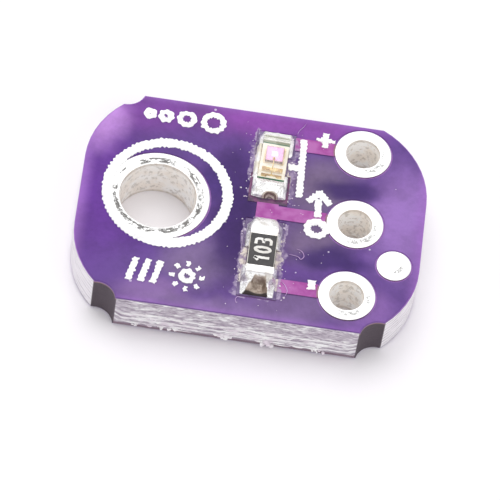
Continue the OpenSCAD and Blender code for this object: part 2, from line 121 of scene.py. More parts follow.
class Graph:
    """Adds shader nodes to one tree and joins them."""

    def __init__(self, tree: bpy.types.NodeTree) -> None:
        """Keeps the tree.

        Args:
            tree: Tree of a material or of a node group.
        """
        self.tree = tree

    def add(self, kind: str, **settings: object) -> bpy.types.Node:
        """Adds a node and sets its properties.

        Args:
            kind: Type of the node.
            settings: Properties to set on it.

        Returns:
            The new node.
        """
        made = self.tree.nodes.new(kind)
        for name, value in settings.items():
            setattr(made, name, value)
        return made

    def feed(self, socket: Socket, value: object) -> None:
        """Links a socket to another, or sets its value.

        Args:
            socket: Input socket.
            value: Output socket, number, vector or screen colour.
        """
        if isinstance(value, Socket):
            self.tree.links.new(value, socket)
        else:
            socket.default_value = shade(value) if isinstance(value, str) else value

    def math(self, kind: str, a: object, b: object = 0.0) -> Socket:
        """Adds a Math node.

        Args:
            kind: Its operation.
            a: First value.
            b: Second value.

        Returns:
            The result.
        """
        made = self.add("ShaderNodeMath", operation=kind)
        self.feed(made.inputs[0], a)
        self.feed(made.inputs[1], b)
        return made.outputs[0]

    def plus(self, a: object, b: object) -> Socket:
        """Returns the sum of two values."""
        return self.math("ADD", a, b)

    def minus(self, a: object, b: object) -> Socket:
        """Returns the first value less the second."""
        return self.math("SUBTRACT", a, b)

    def times(self, a: object, b: object) -> Socket:
        """Returns the product of two values."""
        return self.math("MULTIPLY", a, b)

    def absolute(self, a: object) -> Socket:
        """Returns a value without its sign."""
        return self.math("ABSOLUTE", a)

    def seen(self) -> Socket:
        """Returns one on rays from the camera, a mirror or the clear resin, and nought on others."""
        sight = self.add("ShaderNodeLightPath")
        straight = self.math("MAXIMUM", sight.outputs["Is Camera Ray"], sight.outputs["Is Glossy Ray"])
        return self.math("MAXIMUM", straight, sight.outputs["Is Transmission Ray"])

    def vector(self, kind: str, a: object, b: object = (0.0, 0.0, 0.0)) -> Socket:
        """Adds a Vector Math node.

        Args:
            kind: Its operation.
            a: First vector.
            b: Second vector.

        Returns:
            The result, a number for lengths and a vector otherwise.
        """
        made = self.add("ShaderNodeVectorMath", operation=kind)
        self.feed(made.inputs[0], a)
        self.feed(made.inputs[1], b)
        return made.outputs["Value" if kind in ("LENGTH", "DISTANCE", "DOT_PRODUCT") else "Vector"]

    def moved(self, vector: object, centre: Sequence[float], reach: Sequence[float]) -> Socket:
        """Puts a point of a vector field at nought and a reach from it at one.

        Args:
            vector: Vector field.
            centre: Point that goes to nought.
            reach: Distance along each axis that becomes one, or nought to drop the axis.

        Returns:
            The moved field.
        """
        scale = [1 / r if r else 0.0 for r in reach]
        made = self.add("ShaderNodeMapping")
        self.feed(made.inputs["Vector"], vector)
        made.inputs["Scale"].default_value = scale
        made.inputs["Location"].default_value = [-c * s for c, s in zip(centre, scale)]
        return made.outputs["Vector"]

    def noise(self, vector: object, scale: float, detail: float = 2.0, rough: float = 0.5) -> Socket:
        """Adds a Noise Texture.

        Args:
            vector: Where it is read.
            scale: Its scale.
            detail: Number of finer layers.
            rough: Weight of the finer layers.

        Returns:
            Its value.
        """
        made = self.add("ShaderNodeTexNoise")
        self.feed(made.inputs["Vector"], vector)
        made.inputs["Scale"].default_value = scale
        made.inputs["Detail"].default_value = detail
        made.inputs["Roughness"].default_value = rough
        return made.outputs[0]

    def stirred(self, vector: object, scale: float, reach: tuple[float, float, float]) -> Socket:
        """Shifts a vector field about by a noise.

        Args:
            vector: Vector field.
            scale: Scale of the noise.
            reach: Largest shift along each axis, both ways together.

        Returns:
            The shifted field.
        """
        made = self.add("ShaderNodeTexNoise")
        self.feed(made.inputs["Vector"], vector)
        made.inputs["Scale"].default_value = scale
        shift = self.vector("SUBTRACT", made.outputs["Color"], (0.5,) * 3)
        return self.vector("ADD", vector, self.vector("MULTIPLY", shift, reach))

    def step(self, value: object, low: float, high: float, start: float = 0.0,
             end: float = 1.0) -> Socket:
        """Eases a value from start to end between two limits.

        Args:
            value: Value to read.
            low: Limit at which the result is start.
            high: Limit at which the result is end.
            start: First result.
            end: Last result.

        Returns:
            The eased value.
        """
        made = self.add("ShaderNodeMapRange", interpolation_type="SMOOTHSTEP")
        self.feed(made.inputs["Value"], value)
        for name, number in (("From Min", low), ("From Max", high), ("To Min", start), ("To Max", end)):
            made.inputs[name].default_value = number
        return made.outputs["Result"]

    def blend(self, share: object, a: object, b: object) -> Socket:
        """Mixes two colours.

        Args:
            share: Share of the second.
            a: First colour.
            b: Second colour.

        Returns:
            The mixed colour.
        """
        made = self.add("ShaderNodeMix", data_type="RGBA")
        self.feed(made.inputs[0], share)
        self.feed(made.inputs[6], a)
        self.feed(made.inputs[7], b)
        return made.outputs[2]

    def split(self, vector: object) -> tuple[Socket, ...]:
        """Returns the x, y and z of a vector."""
        made = self.add("ShaderNodeSeparateXYZ")
        self.feed(made.inputs[0], vector)
        return tuple(made.outputs)

    def group(self, tree: bpy.types.NodeTree, **values: object) -> bpy.types.Node:
        """Places a node group and feeds its inputs.

        Args:
            tree: The group.
            values: Its inputs by name, with underscores for spaces.

        Returns:
            The group's node.
        """
        made = self.add("ShaderNodeGroup", node_tree=tree)
        for name, value in values.items():
            self.feed(made.inputs[name.replace("_", " ")], value)
        return made


class Effects:
    """Node groups that several finishes share, each built once."""

    def __init__(self) -> None:
        """Builds the groups."""
        self.specks = self._specks()
        self.layers = self._layers()
        self.scratches = self._scratches()
        self.mottle = self._mottle()
        self.near_part = self._near_part()

    @staticmethod
    def _group(name: str, outputs: Sequence[str],
               **inputs: object) -> tuple[Graph, bpy.types.Node, bpy.types.Node]:
        """Starts a node group that reads a vector field.

        Args:
            name: Name of the group.
            outputs: Names of the number outputs.
            inputs: Its other inputs, with a vector or number as the default.

        Returns:
            The graph, its input node and its output node.
        """
        tree = bpy.data.node_groups.new(name, "ShaderNodeTree")
        for label, value in {"Vector": (0.0, 0.0, 0.0), **inputs}.items():
            kind = "NodeSocketFloat" if isinstance(value, float) else "NodeSocketVector"
            socket = tree.interface.new_socket(label, in_out="INPUT", socket_type=kind)
            socket.default_value = value
        for label in outputs:
            tree.interface.new_socket(label, in_out="OUTPUT", socket_type="NodeSocketFloat")
        graph = Graph(tree)
        return graph, graph.add("NodeGroupInput"), graph.add("NodeGroupOutput")

    def _specks(self) -> bpy.types.NodeTree:
        """Builds sparse round specks.

        Returns:
            The group, with the mask of the specks.
        """
        graph, given, out = self._group("specks", ["Mask"], Scale=5.0, Size=0.1, Share=0.3)
        cells = graph.add("ShaderNodeTexVoronoi", feature="F1")
        graph.feed(cells.inputs["Vector"], given.outputs["Vector"])
        graph.feed(cells.inputs["Scale"], given.outputs["Scale"])
        luck = graph.add("ShaderNodeSeparateColor")
        graph.feed(luck.inputs[0], cells.outputs["Color"])
        size = graph.times(given.outputs["Size"], luck.outputs[1])
        inside = graph.math("LESS_THAN", cells.outputs["Distance"], size)
        kept = graph.math("LESS_THAN", luck.outputs[0], given.outputs["Share"])
        graph.feed(out.inputs["Mask"], graph.times(inside, kept))
        return graph.tree

    def _layers(self) -> bpy.types.NodeTree:
        """Builds the glass cloth's layers, seen edge on as fine wavy lines.

        Returns:
            The group, with the mask of the dark lines and a height.
        """
        graph, given, out = self._group("cloth_layers", ["Lines", "Height"], Count=7.0, Wander=0.15)
        x, y, z = graph.split(given.outputs["Vector"])
        along = graph.plus(x, y)
        sway = graph.add("ShaderNodeCombineXYZ")
        graph.feed(sway.inputs[0], graph.times(along, 0.9))
        graph.feed(sway.inputs[2], graph.times(z, 2.0))
        drift = graph.noise(sway.outputs[0], 1.6, 3.0, 0.6)
        offset = graph.times(graph.minus(drift, 0.5), given.outputs["Wander"])
        turns = graph.times(graph.plus(z, offset), given.outputs["Count"])
        wave = graph.math("SINE", graph.times(turns, 2 * math.pi))
        stretched = graph.moved(given.outputs["Vector"], (0, 0, 0), (1.2, 1.2, 0.05))
        strands = graph.noise(stretched, 2.4, 4.0, 0.65)
        lines = graph.times(graph.step(wave, 0.2, 1.0), graph.step(strands, 0.4, 0.62))
        graph.feed(out.inputs["Lines"], lines)
        graph.feed(out.inputs["Height"], graph.minus(strands, graph.times(lines, 0.5)))
        return graph.tree

    def _scratches(self) -> bpy.types.NodeTree:
        """Builds short fine scratches in clusters.

        Returns:
            The group, with the mask of the scratches.
        """
        graph, given, out = self._group("scratches", ["Mask"], Scale=6.0, Cover=0.5)
        bent = graph.vector("ADD", given.outputs["Vector"], (3.1, 1.7, 0.0))
        fine = graph.add("ShaderNodeTexNoise")
        graph.feed(fine.inputs["Vector"], bent)
        graph.feed(fine.inputs["Scale"], given.outputs["Scale"])
        fine.inputs["Detail"].default_value = 5.0
        fine.inputs["Roughness"].default_value = 0.7
        fine.inputs["Distortion"].default_value = 1.2
        crest = graph.absolute(graph.minus(fine.outputs[0], 0.5))
        thin = graph.step(crest, 0.0, 0.05, 1.0, 0.0)
        patch = graph.noise(given.outputs["Vector"], 1.7, 2.0)
        kept = graph.math("LESS_THAN", patch, given.outputs["Cover"])
        graph.feed(out.inputs["Mask"], graph.times(thin, kept))
        return graph.tree

    def _mottle(self) -> bpy.types.NodeTree:
        """Builds soft blotches with a finer grain in them.

        Returns:
            The group, with a value round one half.
        """
        graph, given, out = self._group("mottle", ["Value"])
        coarse = graph.noise(given.outputs["Vector"], 1.1, 3.0, 0.55)
        fine = graph.noise(given.outputs["Vector"], 9.0, 3.0, 0.6)
        graph.feed(out.inputs["Value"], graph.plus(graph.times(coarse, 0.7),
                                                   graph.times(fine, 0.3)))
        return graph.tree

    def _near_part(self) -> bpy.types.NodeTree:
        """Builds a ragged halo round a rectangle on the board.

        Returns:
            The group, with the halo's mask.
        """
        graph, given, out = self._group(
            "near_part", ["Mask"], Centre=(0.0, 0.0, 0.0), Half=(1.0, 1.0, 1.0), Reach=0.2)
        away = graph.vector("SUBTRACT", given.outputs["Vector"], given.outputs["Centre"])
        away = graph.vector("ABSOLUTE", away)
        past = graph.vector("MAXIMUM", graph.vector("SUBTRACT", away, given.outputs["Half"]))
        flat = graph.moved(past, (0, 0, 0), (1, 1, 0))
        ragged = graph.noise(given.outputs["Vector"], 3.2, 4.0, 0.65)
        reach = graph.times(given.outputs["Reach"], graph.plus(ragged, 0.5))
        near = graph.minus(reach, graph.vector("LENGTH", flat))
        graph.feed(out.inputs["Mask"], graph.step(near, -0.01, 0.03))
        return graph.tree


class Finish:
    """A material under construction: a Principled shader with a millimetre field."""

    def __init__(self, name: str, **plain: object) -> None:
        """Starts the material.

        Args:
            name: Name of the material.
            plain: Values of the shader's sockets that are the same all over, with underscores.
        """
        self.material = bpy.data.materials.new(name)
        self.material.use_nodes = True
        self.graph = Graph(self.material.node_tree)
        self.shader = self.material.node_tree.nodes["Principled BSDF"]
        place = self.graph.add("ShaderNodeTexCoord")
        self.mm = self.graph.moved(place.outputs["Object"], (0, 0, 0), (MM, MM, MM))
        self.x, self.y, self.z = self.graph.split(self.mm)
        for label, value in plain.items():
            self.set(label, value)

    def set(self, label: str, value: object) -> None:
        """Feeds one socket of the shader.

        Args:
            label: The socket's name, with underscores for spaces.
            value: Output socket, number or colour.
        """
        self.graph.feed(self.shader.inputs[label.replace("_", " ")], value)

    def bump(self, height: object, depth: float, strength: float = 1.0) -> None:
        """Gives the surface a relief.

        Args:
            height: Height field between nought and one.
            depth: Height of one, in millimetres.
            strength: Strength of the relief.
        """
        made = self.graph.add("ShaderNodeBump")
        made.inputs["Strength"].default_value = strength
        made.inputs["Distance"].default_value = depth * MM
        self.graph.feed(made.inputs["Height"], height)
        self.set("Normal", made.outputs["Normal"])


@dataclass(frozen=True)
class Tint:
    """A soft patch of colour on the board: the mask's own tone in some places, painted light or painted
    shade in others.
    """

    centre: tuple[float, float]
    reach: tuple[float, float]
    colour: str
    strength: float = 0.85


@dataclass
class Layout:
    """Heights and places of the board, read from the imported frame, in millimetres."""

    board: Place = field(default_factory=lambda: Place("laminate"))
    mask: Place = field(default_factory=lambda: Place("top_mask"))
    sensor: Place = field(default_factory=lambda: Place("clear_resin"))
    resistor: Place = field(default_factory=lambda: Place("resistor_body"))
    ring: Place = field(default_factory=lambda: Place("barrel_mounting"))
    pads: list[Place] = field(default_factory=lambda: [
        Place("barrel_supply"), Place("barrel_output"), Place("barrel_ground")])
    copper_height: float = 0.035
    track_width: float = 0.40
    slope: float = 0.03

    @property
    def low_mask(self) -> float:
        """Returns the height of the mask where no track lies under it."""
        return self.mask.high.z - self.copper_height

    def over_track(self, x: float, y: float) -> float:
        """Says how far a point is on a track.

        Args:
            x: Place along the board.
            y: Place across the board.

        Returns:
            Nought beside the tracks, one on them, and between the two on their flanks.
        """
        start = self.resistor.middle.x
        gaps = [abs(y - pad.middle.y) for pad in self.pads if start < x < pad.middle.x]
        if not gaps:
            return 0.0
        return min(1.0, max(0.0, 1 - (min(gaps) - self.track_width / 2) / self.slope))

    def surface(self, x: float, y: float) -> float:
        """Returns the height of the mask at a place."""
        return self.low_mask + self.copper_height * self.over_track(x, y)


class Workshop:
    """Turns finished meshes into pieces of the model."""

    def __init__(self) -> None:
        """Starts with no pieces."""
        self.pieces: list[bpy.types.Object] = []

    def piece(self, bm: BMesh, name: str, material: Material, slot: str,
              smooth: bool = True, replaces: Sequence[str] = ()) -> bpy.types.Object:
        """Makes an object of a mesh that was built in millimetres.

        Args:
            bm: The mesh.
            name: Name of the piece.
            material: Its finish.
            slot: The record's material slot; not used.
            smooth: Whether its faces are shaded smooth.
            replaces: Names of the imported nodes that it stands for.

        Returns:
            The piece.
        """
        bmesh.ops.recalc_face_normals(bm, faces=bm.faces)
        bmesh.ops.scale(bm, vec=(MM, MM, MM), verts=bm.verts)
        for face in bm.faces:
            face.smooth = smooth
        mesh = bpy.data.meshes.new(name)
        bm.to_mesh(mesh)
        bm.free()
        mesh.materials.append(material)
        made = linked(name, mesh)
        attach(made, ROOT)
        if replaces:
            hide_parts(*replaces)
        self.pieces.append(made)
        LOG.info("%s: %d faces", name, len(mesh.polygons))
        return made

    @staticmethod
    def dress(node: str, material: Material) -> None:
        """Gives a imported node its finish.

        Args:
            node: Name of the node.
            material: The finish.
        """
        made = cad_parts[node]
        made.data.materials.clear()
        made.data.materials.append(material)


def wobble(x: float, y: float, z: float, scale: float) -> float:
    """Returns smooth noise between minus one and one at a point."""
    return noise.noise(Vector((x, y, z)) * scale)


def ribbon(bm: BMesh, path: Sequence[Vector], width: float, ragged: float,
           thickness: float, height: Callable[[float, float], float], closed: bool = False) -> None:
    """Lays a flat band of print with ragged edges along a path.

    Args:
        bm: Mesh that the band is added to.
        path: Points of its middle line, close together.
        width: Width of the band.
        ragged: How far its edges wander.
        thickness: Thickness of the print.
        height: Height of the surface below it at a place.
        closed: Whether the band ends where it starts.
    """
    line = list(path) + ([path[0]] if closed else [])
    last = len(line) - 1
    grid = bmesh.ops.create_grid(bm, x_segments=last, y_segments=4, size=1.0)["verts"]
    for vert in grid:
        i = round((vert.co.x + 1) / 2 * last)
        aside = vert.co.y
        sign = 1 if aside > 0 else -1
        point = line[i]
        before = line[i - 1] if i else (line[-2] if closed else point)
        after = line[i + 1] if i < last else (line[1] if closed else point)
        run = (after - before).normalized()
        jag = ragged * wobble(point.x + 5 * sign, point.y, 3.0, 6.0)
        jag += 0.8 * ragged * wobble(point.x, point.y - 4 * sign, 1.0, 17.0)
        tooth = 0.5 + wobble(point.x - 3 * sign, point.y, 6.0, 4.0)
        jag += 0.75 * ragged * tooth * (1 if (i // 2 + (sign > 0)) % 2 else -1)
        at = point + Vector((-run.y, run.x, 0)) * (aside * (width / 2 + jag))
        if i in (0, last) and not closed:
            at += run * (ragged if i else -ragged) * wobble(at.x, at.y, 2.0, 13.0)
        vert.co = (at.x, at.y, height(at.x, at.y))
    if closed:
        bmesh.ops.remove_doubles(bm, verts=grid, dist=1e-5)
        grid = [v for v in grid if v.is_valid]
    faces = list(dict.fromkeys(f for v in grid for f in v.link_faces))
    top = bmesh.ops.extrude_face_region(bm, geom=faces)["geom"]
    verts = [g for g in top if isinstance(g, bmesh.types.BMVert)]
    bmesh.ops.translate(bm, vec=(0, 0, thickness), verts=verts)


def walk(points: Sequence[tuple[float, float]]) -> list[Vector]:
    """Spaces points evenly along a line of straight stretches.

    Args:
        points: Corners of the line.

    Returns:
        The points, from the first corner to the last.
    """
    out = [Vector((*points[0], 0))]
    for a, b in zip(points, points[1:]):
        start, end = Vector((*a, 0)), Vector((*b, 0))
        count = max(1, round((end - start).length / PRINT_STEP))
        out += [start.lerp(end, i / count) for i in range(1, count + 1)]
    return out


def loop(centre: tuple[float, float], wide: float, tall: float) -> list[Vector]:
    """Spaces points once round an ellipse.

    Args:
        centre: Middle of the ellipse.
        wide: Half its width.
        tall: Half its height.

    Returns:
        The points, each of them once.
    """
    count = max(4, round(math.radians(360) * max(wide, tall) / PRINT_STEP))
    turn = [math.radians(360 * i / count) for i in range(count)]
    return [Vector((centre[0] + wide * math.cos(t), centre[1] + tall * math.sin(t), 0)) for t in turn]


def sweep(bm: BMesh, path: Sequence[Vector], radius: float, sides: int = 6) -> None:
    """Draws a thin round strand along a path, tapering to its ends.

    Args:
        bm: Mesh that the strand is added to.
        path: Points of its middle line.
        radius: Radius in the middle.
        sides: Number of sides.
    """
    last = len(path) - 1
    ring = None
    first: list[bmesh.types.BMVert] = []
    for i, point in enumerate(path):
        run = (path[min(i + 1, last)] - path[max(i - 1, 0)]).normalized()
        thick = radius * (0.35 + 0.65 * math.sin(math.pi * (i + 0.5) / (last + 1)))
        if ring is None:
            face = bmesh.ops.create_circle(bm, cap_ends=True, segments=sides, radius=thick)
            turn = Vector((0, 0, 1)).rotation_difference(run).to_matrix()
            for vert in face["verts"]:
                vert.co = turn @ vert.co + point
            ring = next(iter(face["verts"][0].link_faces))
            first = list(ring.verts)
            heading, size, at = run, thick, point
            continue
        made = bmesh.ops.extrude_discrete_faces(bm, faces=[ring])["faces"]
        ring = made[0]
        turn = heading.rotation_difference(run).to_matrix()
        for vert in ring.verts:
            vert.co = turn @ (vert.co - at) * (thick / size) + point
        heading, size, at = run, thick, point
    bmesh.ops.contextual_create(bm, geom=first)


def grain(bm: BMesh, at: Vector, size: float, luck: random.Random) -> None:
    """Adds one crumb, a small uneven ball pressed flat.

    Args:
        bm: Mesh that the crumb is added to.
        at: Place of its middle.
        size: Its radius.
        luck: Source of the random draws.
    """
    made = bmesh.ops.create_icosphere(bm, subdivisions=1, radius=size)["verts"]
    stretch = [luck.uniform(0.6, 1.4), luck.uniform(0.6, 1.4), luck.uniform(0.4, 0.8)]
    for vert in made:
        push = 1 + 0.35 * wobble(vert.co.x / size + at.x, vert.co.y / size + at.y, vert.co.z / size, 1.3)
        vert.co = Vector([c * s * push for c, s in zip(vert.co, stretch)]) + at


@dataclass(frozen=True)
class MaskFinish:
    """Violet solder mask: darker in patches, rosy over the tracks, lighter towards the edges by painted
    light, with patches of painted glare and painted shade.
    """

    base: str = "#6f4c9c"
    track: str = "#a54b9b"
    track_light: str = "#b76cb1"
    crust: str = "#b3a3bf"
    # Painted light along the board's edges.
    painted_edge_light: str = "#b27bd8"
    dust: str = "#d9cde6"
    tones_and_painted_light: tuple[Tint, ...] = (
        # Most tints vary the mask's own tone; the ones noted below paint light or shade.
        Tint((-4.5, 0.2), (1.9, 3.6), "#7038a4", 0.9),
        Tint((-3.3, -0.6), (1.0, 1.6), "#66339a", 0.8),
        Tint((-3.6, 3.2), (2.6, 1.4), "#8a4bab", 0.8),
        # Painted light: lighter along the back edge.
        Tint((0.6, 3.4), (4.0, 1.1), "#a153ba", 0.85),
        # Painted glare: this tint and the next are greyish patches right of the sensor.
        Tint((1.9, 1.2), (1.7, 1.6), "#857093", 0.9),
        Tint((1.8, -0.7), (1.5, 1.2), "#836d93", 0.9),
        Tint((-1.3, -2.0), (1.7, 1.4), "#8b74a1", 0.85),
        Tint((1.6, -3.0), (2.4, 0.9), "#8a6ea3", 0.85),
        Tint((-2.6, -3.2), (1.5, 0.7), "#9673b0", 0.8),
        # Painted light: lighter at the right end.
        Tint((4.4, 0.4), (1.5, 2.8), "#aa80cf", 0.85),
        Tint((3.7, -2.9), (1.4, 1.1), "#9a6fbd", 0.75),
        # Painted light: the far-left corner lit pale.
        Tint((-4.9, 2.6), (1.3, 1.6), "#d69df2", 0.9),
        Tint((-0.5, -3.6), (3.2, 0.6), "#a184b8", 0.65),
        Tint((-0.45, -0.2), (1.0, 3.8), "#42266c", 0.95),
        Tint((-0.8, 1.4), (1.1, 1.2), "#4d3079", 0.8),
        # Painted shade: this tint and the next are dark bands just beyond the output and ground pads.
        Tint((2.75, 1.28), (1.5, 0.55), "#452a74", 0.9),
        Tint((2.45, -1.25), (1.6, 0.6), "#452a74", 0.9),
        Tint((-1.2, 0.9), (0.55, 0.9), "#503484", 0.8),
    )

    def build(self, layout: Layout, effects: Effects, name: str, upper: bool) -> Material:
        """Makes the material.

        Args:
            layout: Places on the board.
            effects: Shared node groups.
            name: Name of the material.
            upper: Whether the mask has the marks of the component side.

        Returns:
            The material.
        """
        made = Finish(name, Specular_IOR_Level=0.12, IOR=1.5)
        graph = made.graph
        mottle = graph.group(effects.mottle, Vector=made.mm).outputs[0]
        drift = graph.stirred(made.mm, 0.9, (0.9, 0.9, 0.9))
        colour: object = self.base
        if upper:
            for tint in self.tones_and_painted_light:
                away = graph.vector("LENGTH", graph.moved(drift, (*tint.centre, 0), (*tint.reach, 0)))
                colour = graph.blend(graph.step(away, 0.25, 1.0, tint.strength, 0.0), colour, tint.colour)
        half = layout.board.size / 2
        # Painted light: the mask turns lighter violet towards the board's edges, for light grazing and
        # scattering through them.
        outline = graph.moved(made.mm, (0, 0, 0), (half.x, half.y, 0))
        ox, oy, _ = graph.split(graph.vector("ABSOLUTE", outline))
        rim = graph.math("MAXIMUM", graph.math("POWER", ox, 5.0), graph.math("POWER", oy, 4.0))
        colour = graph.blend(graph.step(rim, 0.62, 1.02, 0.0, 0.75), colour, self.painted_edge_light)
        light = graph.step(mottle, 0.3, 0.7, 0.66, 0.88)
        colour = graph.vector("SCALE", colour)
        graph.feed(colour.node.inputs["Scale"], light)
        rough: object = 0.34
        relief = graph.times(mottle, 0.25)
        if upper:
            lift = graph.step(made.z, layout.low_mask + 0.004, layout.mask.high.z - 0.004)
            sheen = graph.noise(made.mm, 2.6, 3.0)
            rosy = graph.blend(graph.step(sheen, 0.35, 0.65), self.track, self.track_light)
            colour = graph.blend(graph.times(lift, 0.95), colour, rosy)
            strayed = graph.stirred(made.mm, 2.2, (0.55, 0.8, 0.0))
            for place, half in ((layout.sensor, (0.46, 1.02, 9.0)), (layout.resistor, (0.50, 1.22, 9.0))):
                halo = graph.group(effects.near_part, Vector=strayed, Centre=tuple(place.middle),
                                   Half=half, Reach=0.2).outputs[0]
                broken = graph.step(graph.noise(made.mm, 5.0, 4.0, 0.7), 0.35, 0.6, 0.15, 0.85)
                halo = graph.times(halo, broken)
                colour = graph.blend(halo, colour, self.crust)
                rough = graph.plus(rough, graph.times(halo, 0.3))
                relief = graph.plus(relief, graph.times(halo, 0.5))
            dust = graph.group(effects.specks, Vector=made.mm, Scale=3.4, Size=0.16, Share=0.16).outputs[0]
            colour = graph.blend(graph.times(dust, 0.75), colour, self.dust)
        made.set("Base Color", colour)
        made.set("Roughness", rough)
        made.bump(relief, 0.02, 0.5)
        return made.material


@dataclass(frozen=True)
class LaminateFinish:
    """Glass-fibre laminate: pale and finely layered where cut, fibrous where snapped, with painted shadow
    over the bottom mask's edge at the foot of the snapped edges.

    Attributes:
        notches: Middle of each cutter's notch.
        notch_reach: Distance from that middle over which the cut is burnt.
        bands: Level, width and paleness of the bands along the snapped edge, level one at the top.
    """

    cut: str = "#f4f0f5"
    cut_line: str = "#8d8490"
    torn: str = "#e2dae3"
    torn_light: str = "#ffffff"
    torn_dark: str = "#8d7e92"
    burnt: str = "#4b424b"
    burnt_light: str = "#584c55"
    burnt_rim: str = "#a5848a"
    face: str = "#a877c6"
    near_face: str = "#7d629a"
    # Painted shadow with the bottom mask's edge, at the foot of the snapped edges.
    under: str = "#7f6474"
    notches: tuple[tuple[float, float], ...] = ((-4.147, -3.75), (4.147, -3.75), (-4.147, 3.83))
    notch_reach: float = 0.595
    bands: tuple[tuple[float, float, bool], ...] = (
        (0.60, 0.045, True), (0.50, 0.018, False), (0.43, 0.04, True),
        (0.345, 0.016, False), (0.27, 0.05, True), (0.17, 0.02, False))

    def build(self, layout: Layout, effects: Effects) -> Material:
        """Makes the material.

        Args:
            layout: Places on the board.
            effects: Shared node groups.

        Returns:
            The material.
        """
        made = Finish("laminate_edges", Roughness=0.7)
        graph = made.graph
        low, high = layout.board.low, layout.board.high
        layers = graph.group(effects.layers, Vector=made.mm, Count=6.5, Wander=0.10)
        cut = graph.blend(graph.times(layers.outputs["Lines"], 0.75), self.cut, self.cut_line)

        stretched = graph.moved(made.mm, (0, 0, 0), (0.55, 1.0, 0.09))
        strands = graph.noise(stretched, 1.9, 5.0, 0.7)
        torn = graph.blend(graph.step(strands, 0.32, 0.68), self.torn_dark, self.torn)
        pale = graph.noise(graph.moved(made.mm, (7, 0, 0), (0.9, 1.0, 0.16)), 2.3, 4.0, 0.6)
        torn = graph.blend(graph.step(pale, 0.5, 0.72), torn, self.torn_light)
        lift = graph.math("DIVIDE", graph.minus(made.z, low.z), high.z - low.z)
        wander = graph.times(graph.minus(graph.noise(made.mm, 1.4, 3.0), 0.5), 0.16)
        level = graph.plus(lift, wander)
        broken = graph.noise(graph.moved(made.mm, (3, 0, 0), (0.8, 1.0, 0.4)), 1.7, 3.0, 0.6)
        for at, wide, pale_band in self.bands:
            off = graph.absolute(graph.minus(level, at))
            line = graph.step(off, wide * 0.3, wide, 0.9, 0.0)
            line = graph.times(line, graph.step(broken, 0.3, 0.6, 0.35, 1.0))
            torn = graph.blend(line, torn, self.torn_light if pale_band else self.torn_dark)

        edge = graph.step(graph.absolute(made.y), high.y - 0.2, high.y - 0.16)
        colour = graph.blend(edge, cut, torn)
        rough_height = graph.plus(graph.times(layers.outputs["Height"], 0.4), strands)

        # Painted shadow: a brownish-violet band at the foot of the snapped edges, for the contact shadow
        # under the board over the bottom mask's edge.
        foot = graph.plus(made.z, graph.times(wander, 0.3))
        foot = graph.step(foot, low.z + 0.15, low.z + 0.21, 0.85, 0.0)
        colour = graph.blend(graph.times(foot, edge), colour, self.under)
        away: object = 9.0
        for at in self.notches:
            off = graph.vector("LENGTH", graph.moved(made.mm, (*at, 0), (1, 1, 0)))
            away = graph.math("MINIMUM", away, off)
        burnt = graph.step(away, self.notch_reach, self.notch_reach + 0.03, 1.0, 0.0)
        char = graph.blend(graph.noise(made.mm, 14.0, 4.0), self.burnt, self.burnt_light)
        rim = graph.step(made.z, high.z - 0.07, high.z - 0.02)
        char = graph.blend(graph.times(rim, 0.8), char, self.burnt_rim)
        colour = graph.blend(burnt, colour, char)

        up = graph.add("ShaderNodeNewGeometry")
        _, _, facing = graph.split(up.outputs["True Normal"])
        flat = graph.step(graph.absolute(facing), 0.6, 0.9)
        rim_colour = graph.blend(graph.step(made.y, -3.4, -2.6), self.near_face, self.face)
        colour = graph.blend(flat, colour, rim_colour)
        made.set("Base Color", colour)
        made.bump(rough_height, 0.05, 0.8)
        return made.material


